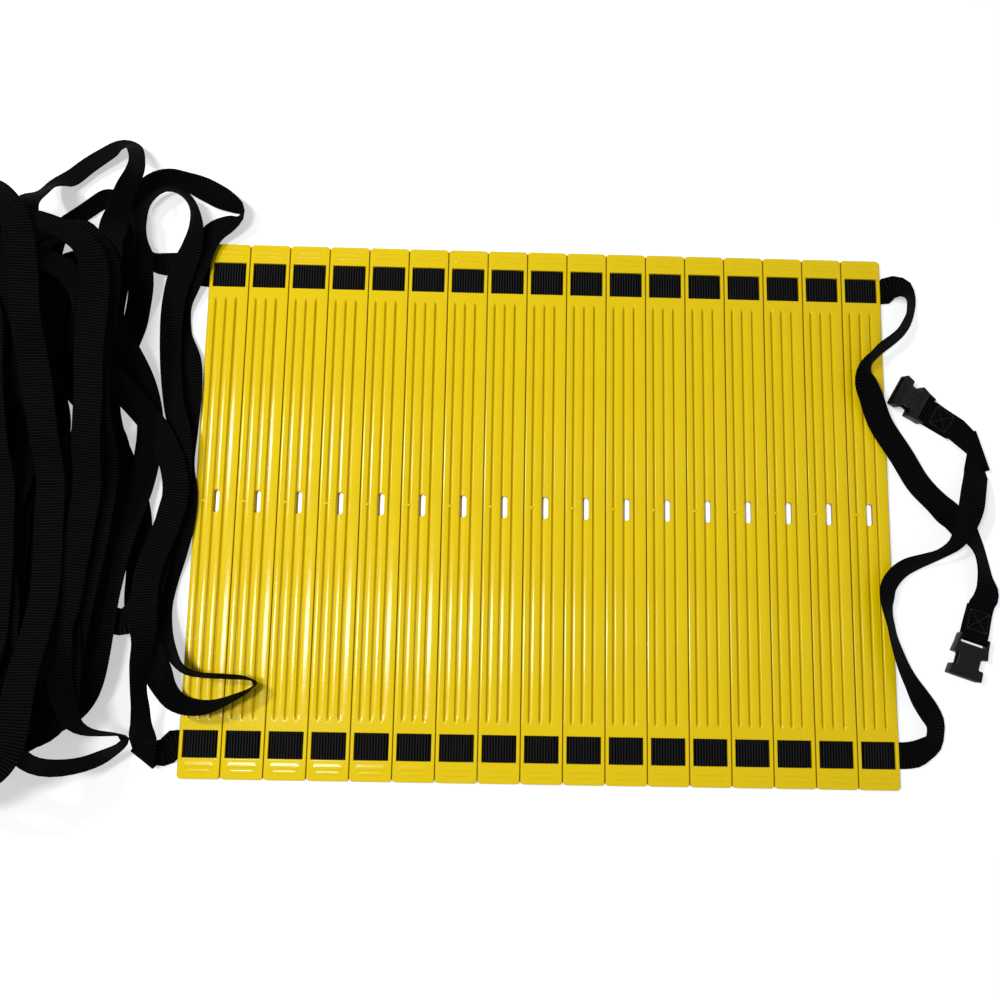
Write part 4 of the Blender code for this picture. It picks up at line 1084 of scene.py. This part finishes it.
def rung_mesh():
    """One moulded rung about its own middle, as a closed grid with its openings left out."""
    xs, ys = rung_lines()
    x, y = np.meshgrid(xs, ys, indexing="ij")
    cells = [(lines[1:] + lines[:-1]) / 2 for lines in (xs, ys)]
    cell_x, cell_y = np.meshgrid(*cells, indexing="ij")
    flat_x, flat_y = HALF_WIDTH - RUNG_CORNER, HALF_LENGTH - RUNG_CORNER
    past_x, past_y = np.maximum(abs(cell_x) - flat_x, 0), np.maximum(abs(cell_y) - flat_y, 0)
    corner = np.hypot(past_x, past_y) > RUNG_CORNER
    in_slot = np.hypot(cell_x - SLOT_SHIFT, np.maximum(abs(cell_y) - SLOT_REACH, 0)) < SLOT_RADIUS
    threading = (abs(cell_x) > LAND_WIDTH / 2) & (abs(cell_x) < WINDOW_WIDTH / 2)
    threading &= abs(abs(cell_y) - WINDOW_Y) < SHOWN_WINDOW / 2
    kept = ~(corner | in_slot | threading)

    under_x = x
    for missing, middle_x, middle_y, radius in (
        (corner, flat_x, flat_y, RUNG_CORNER), (in_slot, None, SLOT_REACH, SLOT_RADIUS),
    ):
        rim = at_corners(missing) & at_corners(kept)
        centre_x = SLOT_SHIFT if middle_x is None else np.clip(x, -middle_x, middle_x)
        centre_y = np.clip(y, -middle_y, middle_y)
        out_x, out_y = x - centre_x, y - centre_y
        size = np.maximum(np.hypot(out_x, out_y), WELD)
        x = np.where(rim, centre_x + radius * out_x / size, x)
        y = np.where(rim, centre_y + radius * out_y / size, y)
        # the slot's left wall slopes in, so that its painted shade stands for the slot's shadow
        inward = 0 if missing is corner else SLOT_SHADOW_SLOPE * np.maximum(-out_x / size, 0)
        under_x = np.where(rim, x + inward, x if missing is corner else under_x)

    top, bottom, shade = rung_tops(x, y), rung_bottoms(x, y), rung_shade(x, y)
    bm = bmesh.new()
    layer = bm.verts.layers.float.new("shade")
    made = {}

    def vert(i, j, upper):
        if (i, j, upper) not in made:
            place_x, height = (x, top) if upper else (under_x, bottom)
            made[i, j, upper] = bm.verts.new((place_x[i, j], y[i, j], height[i, j]))
            # painted shade: the walls darken towards full painted shade at their lower edge
            made[i, j, upper][layer] = shade[i, j] if upper else 1
        return made[i, j, upper]

    edges = {}
    for i, j in zip(*np.nonzero(kept)):
        ring = [(i, j), (i + 1, j), (i + 1, j + 1), (i, j + 1)]
        bm.faces.new([vert(*k, True) for k in ring])
        bm.faces.new([vert(*k, False) for k in reversed(ring)])
        for start, end in zip(ring, ring[1:] + ring[:1]):
            if edges.pop((end, start), None) is None:
                edges[start, end] = True
    for start, end in edges:
        bm.faces.new([vert(*start, True), vert(*start, False), vert(*end, False), vert(*end, True)])
    bmesh.ops.dissolve_limit(bm, angle_limit=FLAT_ANGLE, verts=bm.verts, edges=bm.edges)
    bmesh.ops.triangulate(bm, faces=bm.faces)
    return mesh_of(bm, "rung", RUNG_SHARP)


# --- Buckles ---

def rounded_outline(points, radius):
    """An outline with each corner rounded, by the radius or less where its sides are short."""
    made = []
    points = [Vector(p) for p in points]
    for before, corner, after in zip(points[-1:] + points[:-1], points, points[1:] + points[:1]):
        first, second = before - corner, after - corner
        reach = min(radius, *(side.length * ROUND_SHARE for side in (first, second)))
        start, end = corner + first.normalized() * reach, corner + second.normalized() * reach
        for step in range(ROUND_STEPS + 1):
            t = step / ROUND_STEPS
            made.append((1 - t) ** 2 * start + 2 * t * (1 - t) * corner + t**2 * end)
    return made


def prism(points, low, high):
    """A flat outline between two heights, as a mesh."""
    bm = bmesh.new()
    loft(bm, [[bm.verts.new((p[0], p[1], height)) for p in points] for height in (low, high)])
    bmesh.ops.recalc_face_normals(bm, faces=bm.faces)
    return plain_mesh(bm, "prism")


def slab(low, high, radius=0):
    """A box between two corners, its upright edges rounded by the radius."""
    points = [(low[0], low[1]), (high[0], low[1]), (high[0], high[1]), (low[0], high[1])]
    return prism(rounded_outline(points, radius) if radius else points, low[2], high[2])


def bar_mesh(radius, reach):
    """A round bar along Y, as far as the reach each way."""
    bm = bmesh.new()
    bmesh.ops.create_cone(
        bm, cap_ends=True, segments=BAR_SIDES, radius1=radius, radius2=radius, depth=2 * reach,
        matrix=Matrix.Rotation(math.pi / 2, 4, "X"),
    )
    return plain_mesh(bm, "bar")


def carved(body, steps, edge):
    """A mesh with others joined to it or cut out of it in turn, and its edges softened."""
    whole = add_object("carved", body)
    tools = []
    for operation, mesh in steps:
        tool = add_object("tool", mesh)
        change = whole.modifiers.new(operation, "BOOLEAN")
        change.operation, change.solver, change.object = operation, "EXACT", tool
        tools.append(tool)
    bevel = whole.modifiers.new("edges", "BEVEL")
    bevel.width, bevel.segments, bevel.angle_limit = edge, BEVEL_SEGMENTS, BEVEL_LIMIT
    bpy.context.view_layer.update()
    depsgraph = bpy.context.evaluated_depsgraph_get()
    mesh = bpy.data.meshes.new_from_object(whole.evaluated_get(depsgraph))
    for extra in [whole, *tools]:
        bpy.data.objects.remove(extra)
    mesh.shade_smooth()
    mesh.set_sharp_from_angle(angle=math.radians(BUCKLE_SHARP))
    return mesh


def bar_steps():
    """How the back of a buckle half is opened round the strap bar that its cheeks carry."""
    inside = STRAP_WIDTH / 2 + STRAP_SIDE_PLAY
    tall = BUCKLE_HEIGHT / 2 + BODY_OVERRUN
    start, end = (-BAR_RADIUS - BODY_OVERRUN, -inside, -tall), (SHOWN_BAR_SLOT, inside, tall)
    cut = slab(start, end, INNER_ROUND)
    return [("DIFFERENCE", cut), ("UNION", bar_mesh(BAR_RADIUS, inside + BUCKLE_CHEEK / 2))]


def on_faces(operation, low, high, sunk, proud, radius):
    """Steps that join or cut a plate on each face of a buckle half, between two corners in plan."""
    level = BUCKLE_HEIGHT / 2
    return [
        (operation, slab((*low, bottom), (*high, top), radius))
        for bottom, top in ((level - sunk, level + proud), (-level - proud, -level + sunk))
    ]


def grips(start, count):
    """Raised grip ribs across a buckle half's two faces."""
    steps = []
    for n in range(count):
        x = start + n * GRIP_SPACING
        corners = (x - GRIP_WIDTH / 2, -GRIP_LENGTH / 2), (x + GRIP_WIDTH / 2, GRIP_LENGTH / 2)
        steps += on_faces("UNION", *corners, GRIP_SUNK, GRIP_HEIGHT, GRIP_ROUND)
    return steps


def buckle_body(outline, steps):
    """A buckle half from the +Y half of its outline, with its steps and its strap bar."""
    level, cheek = BUCKLE_HEIGHT / 2, STRAP_WIDTH / 2 + STRAP_SIDE_PLAY + BUCKLE_CHEEK
    points = [(-BAR_RADIUS, cheek - BUCKLE_EDGE), (BAR_SLOT, cheek), *outline]
    points += [(x, -y) for x, y in reversed(points)]
    shape = prism(rounded_outline(points, OUTLINE_ROUND), -level, level)
    return carved(shape, [*steps, *bar_steps()], BUCKLE_BEVEL)


def socket_mesh():
    """The female half: shoulder, narrow waist open at the sides, and a mouth with a collar."""
    hollow = slab(
        (SOCKET_FLOOR, -SOCKET_WIDTH / 2, -SOCKET_HEIGHT / 2),
        (SOCKET_END + BODY_OVERRUN, SOCKET_WIDTH / 2, SOCKET_HEIGHT / 2),
    )
    panel = (SHOULDER_END - PANEL_BACK, -PANEL_HALF), (WAIST_END - PANEL_FRONT, PANEL_HALF)
    panels = on_faces("DIFFERENCE", *panel, PANEL_DEPTH, PANEL_OVERRUN, PANEL_ROUND)
    outline = [
        (SHOULDER_END, SHOULDER_WIDTH / 2), (SHOULDER_END, WAIST_WIDTH / 2),
        (WAIST_END, WAIST_WIDTH / 2), (WAIST_END, BUCKLE_WIDTH / 2 - BUCKLE_EDGE),
        (SOCKET_END, BUCKLE_WIDTH / 2),
    ]
    steps = [("DIFFERENCE", hollow), *panels, *grips(WAIST_END + SOCKET_GRIPS, SOCKET_GRIP_COUNT)]
    return buckle_body(outline, steps)


def plug_mesh():
    """The male half's base and guide tongue."""
    tongue = slab(
        (PLUG_BASE_END - BODY_OVERRUN, -TONGUE_WIDTH / 2, -ARM_THICKNESS / 2),
        (TONGUE_END, TONGUE_WIDTH / 2, ARM_THICKNESS / 2), TONGUE_ROUND,
    )
    steps = [("UNION", tongue), *grips(BAR_SLOT + PLUG_GRIPS, PLUG_GRIP_COUNT)]
    return buckle_body([(PLUG_BASE_END, SHOULDER_WIDTH / 2)], steps)


def arm_mesh(side):
    """A latch arm of the male half, about its own root: it bows out to the catch at its tip."""
    bow = (LATCH_START + ROOT_START) / 2
    middle = (ARM_ROOT + ARM_SPREAD) / 2
    thin = ARM_WIDTH / 2
    points = [
        (ROOT_START, ARM_ROOT - thin), (bow, middle - thin), (LATCH_START, ARM_SPREAD - thin),
        (ARM_END - ARM_WIDTH, ARM_SPREAD - thin), (ARM_END, ARM_SPREAD),
        (ARM_END - ARM_WIDTH, LATCH_OUT - thin), (LATCH_START, LATCH_OUT),
        (LATCH_START, ARM_SPREAD + thin), (bow, middle + thin), (ROOT_START, ARM_ROOT + thin),
    ]
    outline = [(x - ROOT_START, side * (y - ARM_ROOT)) for x, y in points]
    outline = rounded_outline(outline[::side], INNER_ROUND)
    return carved(prism(outline, -ARM_THICKNESS / 2, ARM_THICKNESS / 2), [], ARM_BEVEL)


# --- Camera, floor and light ---

def make_camera():
    lens = bpy.data.cameras.new("camera")
    lens.sensor_width, lens.lens = CAMERA_SENSOR, CAMERA_LENS
    camera = add_object("camera", lens)
    camera.location, camera.rotation_euler = CAMERA_PLACE, CAMERA_TURN
    bpy.context.scene.camera = camera


def softbox(name, place, size, power):
    """A soft rectangular lamp that faces the middle of the pack."""
    lamp = bpy.data.lights.new(name, "AREA")
    lamp.shape, lamp.size, lamp.size_y, lamp.energy = "RECTANGLE", size[0], size[1], power
    made = add_object(name, lamp)
    made.location = place
    made.rotation_euler = (-Vector(place)).to_track_quat("-Z", "Y").to_euler()


def make_studio():
    """A white floor and world, and the lamps that make the highlights on the rungs."""
    bm = bmesh.new()
    bmesh.ops.create_grid(bm, x_segments=2, y_segments=2, size=FLOOR_REACH)
    floor = add_object("floor", plain_mesh(bm, "floor"))
    floor.data.materials.append(floor_paint())
    world = bpy.data.worlds.new("studio")
    world.use_nodes = True
    sky = world.node_tree.nodes["Background"]
    sky.inputs["Color"].default_value = WHITE
    nodes = Nodes(world.node_tree)
    nodes.join(where_seen(nodes, WORLD_LIGHT, 1), sky.inputs["Strength"])
    bpy.context.scene.world = world
    for lamp in LAMPS:
        softbox(*lamp)
    bpy.context.scene.view_settings.view_transform = "Standard"


# --- The scene ---

def set_piece(name, mesh, paint, slot, body, place, turn):
    """A piece at a place and turn, which rides on a body and replaces the node of the same name."""
    made = piece(name, mesh, paint, None, slot)
    made.location, made.rotation_euler = place, turn
    bpy.context.view_layer.update()
    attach(made, body)
    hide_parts(body)
    return made


def make_straps(paints):
    """The four free straps, each with its stitching, its yarn ends and its buckle half."""
    random = np.random.default_rng(SEED)
    pile = Pile()
    sections = {part: strap_line(part, route, pile) for part, route in strap_routes().items()}
    halves = {"tail": ("socket", socket_mesh()), "slack": ("plug", plug_mesh())}
    arms = {side: arm_mesh(side) for side in (-1, 1)}
    for part, parts in sections.items():
        name, end = part.split("_")
        body = "rung_17" if end == "tail" else "rung_01"
        strap = piece(f"webbing_{part}", web_mesh(part, *parts), paints["woven"], body, "webbing")
        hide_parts(f"strap_{part}")
        sewn = stitching("stitches", parts)
        carried = [piece(f"stitches_{part}", sewn, paints["thread"], body, "webbing")]
        loose = fibres("fibres", parts, YARN_ENDS[part], random)
        carried.append(piece(f"fibres_{part}", loose, paints["thread"], body, "webbing"))
        bar, heading, tilt = BARS[part]
        place = Vector((*bar, BAR_HEIGHT))
        turn = Euler((0, -math.radians(tilt), math.radians(heading)))
        title, mesh = halves[end]
        look = paints["black"], "buckle_plastic"
        shell = f"{title}_{name}_shell"
        carried.append(set_piece(shell, mesh, *look, f"{title}_{name}", place, turn))
        if end == "slack":
            for side, hand in ((-1, "right"), (1, "left")):
                latch = f"latch_{name}_{hand}"
                root = place + turn.to_matrix() @ Vector((ROOT_START, side * ARM_ROOT, 0))
                carried.append(set_piece(f"{latch}_arm", arms[side], *look, latch, root, turn))


def make_rungs(paints):
    """The rungs, each with its own length of both runs and the links to the next rung."""
    shared = rung_mesh()
    inner = WINDOW_WIDTH / 2 - THREAD_INSET
    for number in range(RUNG_COUNT):
        middle = (number - (RUNG_COUNT - 1) / 2) * PITCH
        title, look = f"rung_{number + 1:02d}", (paints["yellow"], "rung_plastic")
        set_piece(f"{title}_moulding", shared, *look, title, (middle, 0, 0), (0, 0, 0))
        low = -STRAP_EXIT if number == 0 else middle - inner
        high = STRAP_EXIT if number == RUNG_COUNT - 1 else middle + inner
        for name, y in (("far", WINDOW_Y), ("near", -WINDOW_Y)):
            lengths = [("run", low, high, title)]
            if number + 1 < RUNG_COUNT:
                lengths.append(("link", middle + inner, middle + PITCH - inner, None))
            for kind, start, end, body in lengths:
                mesh = run_piece(kind, start, end, middle, y)
                full_name = f"{kind}_{name}_{number + 1:02d}"
                made = piece(full_name, mesh, paints["threaded"], body, "webbing")
                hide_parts(f"strap_{name}_run")
                if not body:
                    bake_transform(made)


def build():
    make_camera()
    paints = {
        "yellow": rung_paint(), "black": buckle_paint(), "woven": webbing_paint("webbing", False),
        "threaded": webbing_paint("webbing_run", True), "thread": thread_paint(),
    }
    make_straps(paints)
    make_rungs(paints)
    make_studio()


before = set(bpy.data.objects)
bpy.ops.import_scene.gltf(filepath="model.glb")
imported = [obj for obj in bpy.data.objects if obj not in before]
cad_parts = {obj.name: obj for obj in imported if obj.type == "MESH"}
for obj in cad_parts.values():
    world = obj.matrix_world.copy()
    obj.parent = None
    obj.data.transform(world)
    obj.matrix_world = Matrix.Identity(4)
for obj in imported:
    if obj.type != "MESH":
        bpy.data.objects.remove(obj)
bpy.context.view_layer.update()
build()
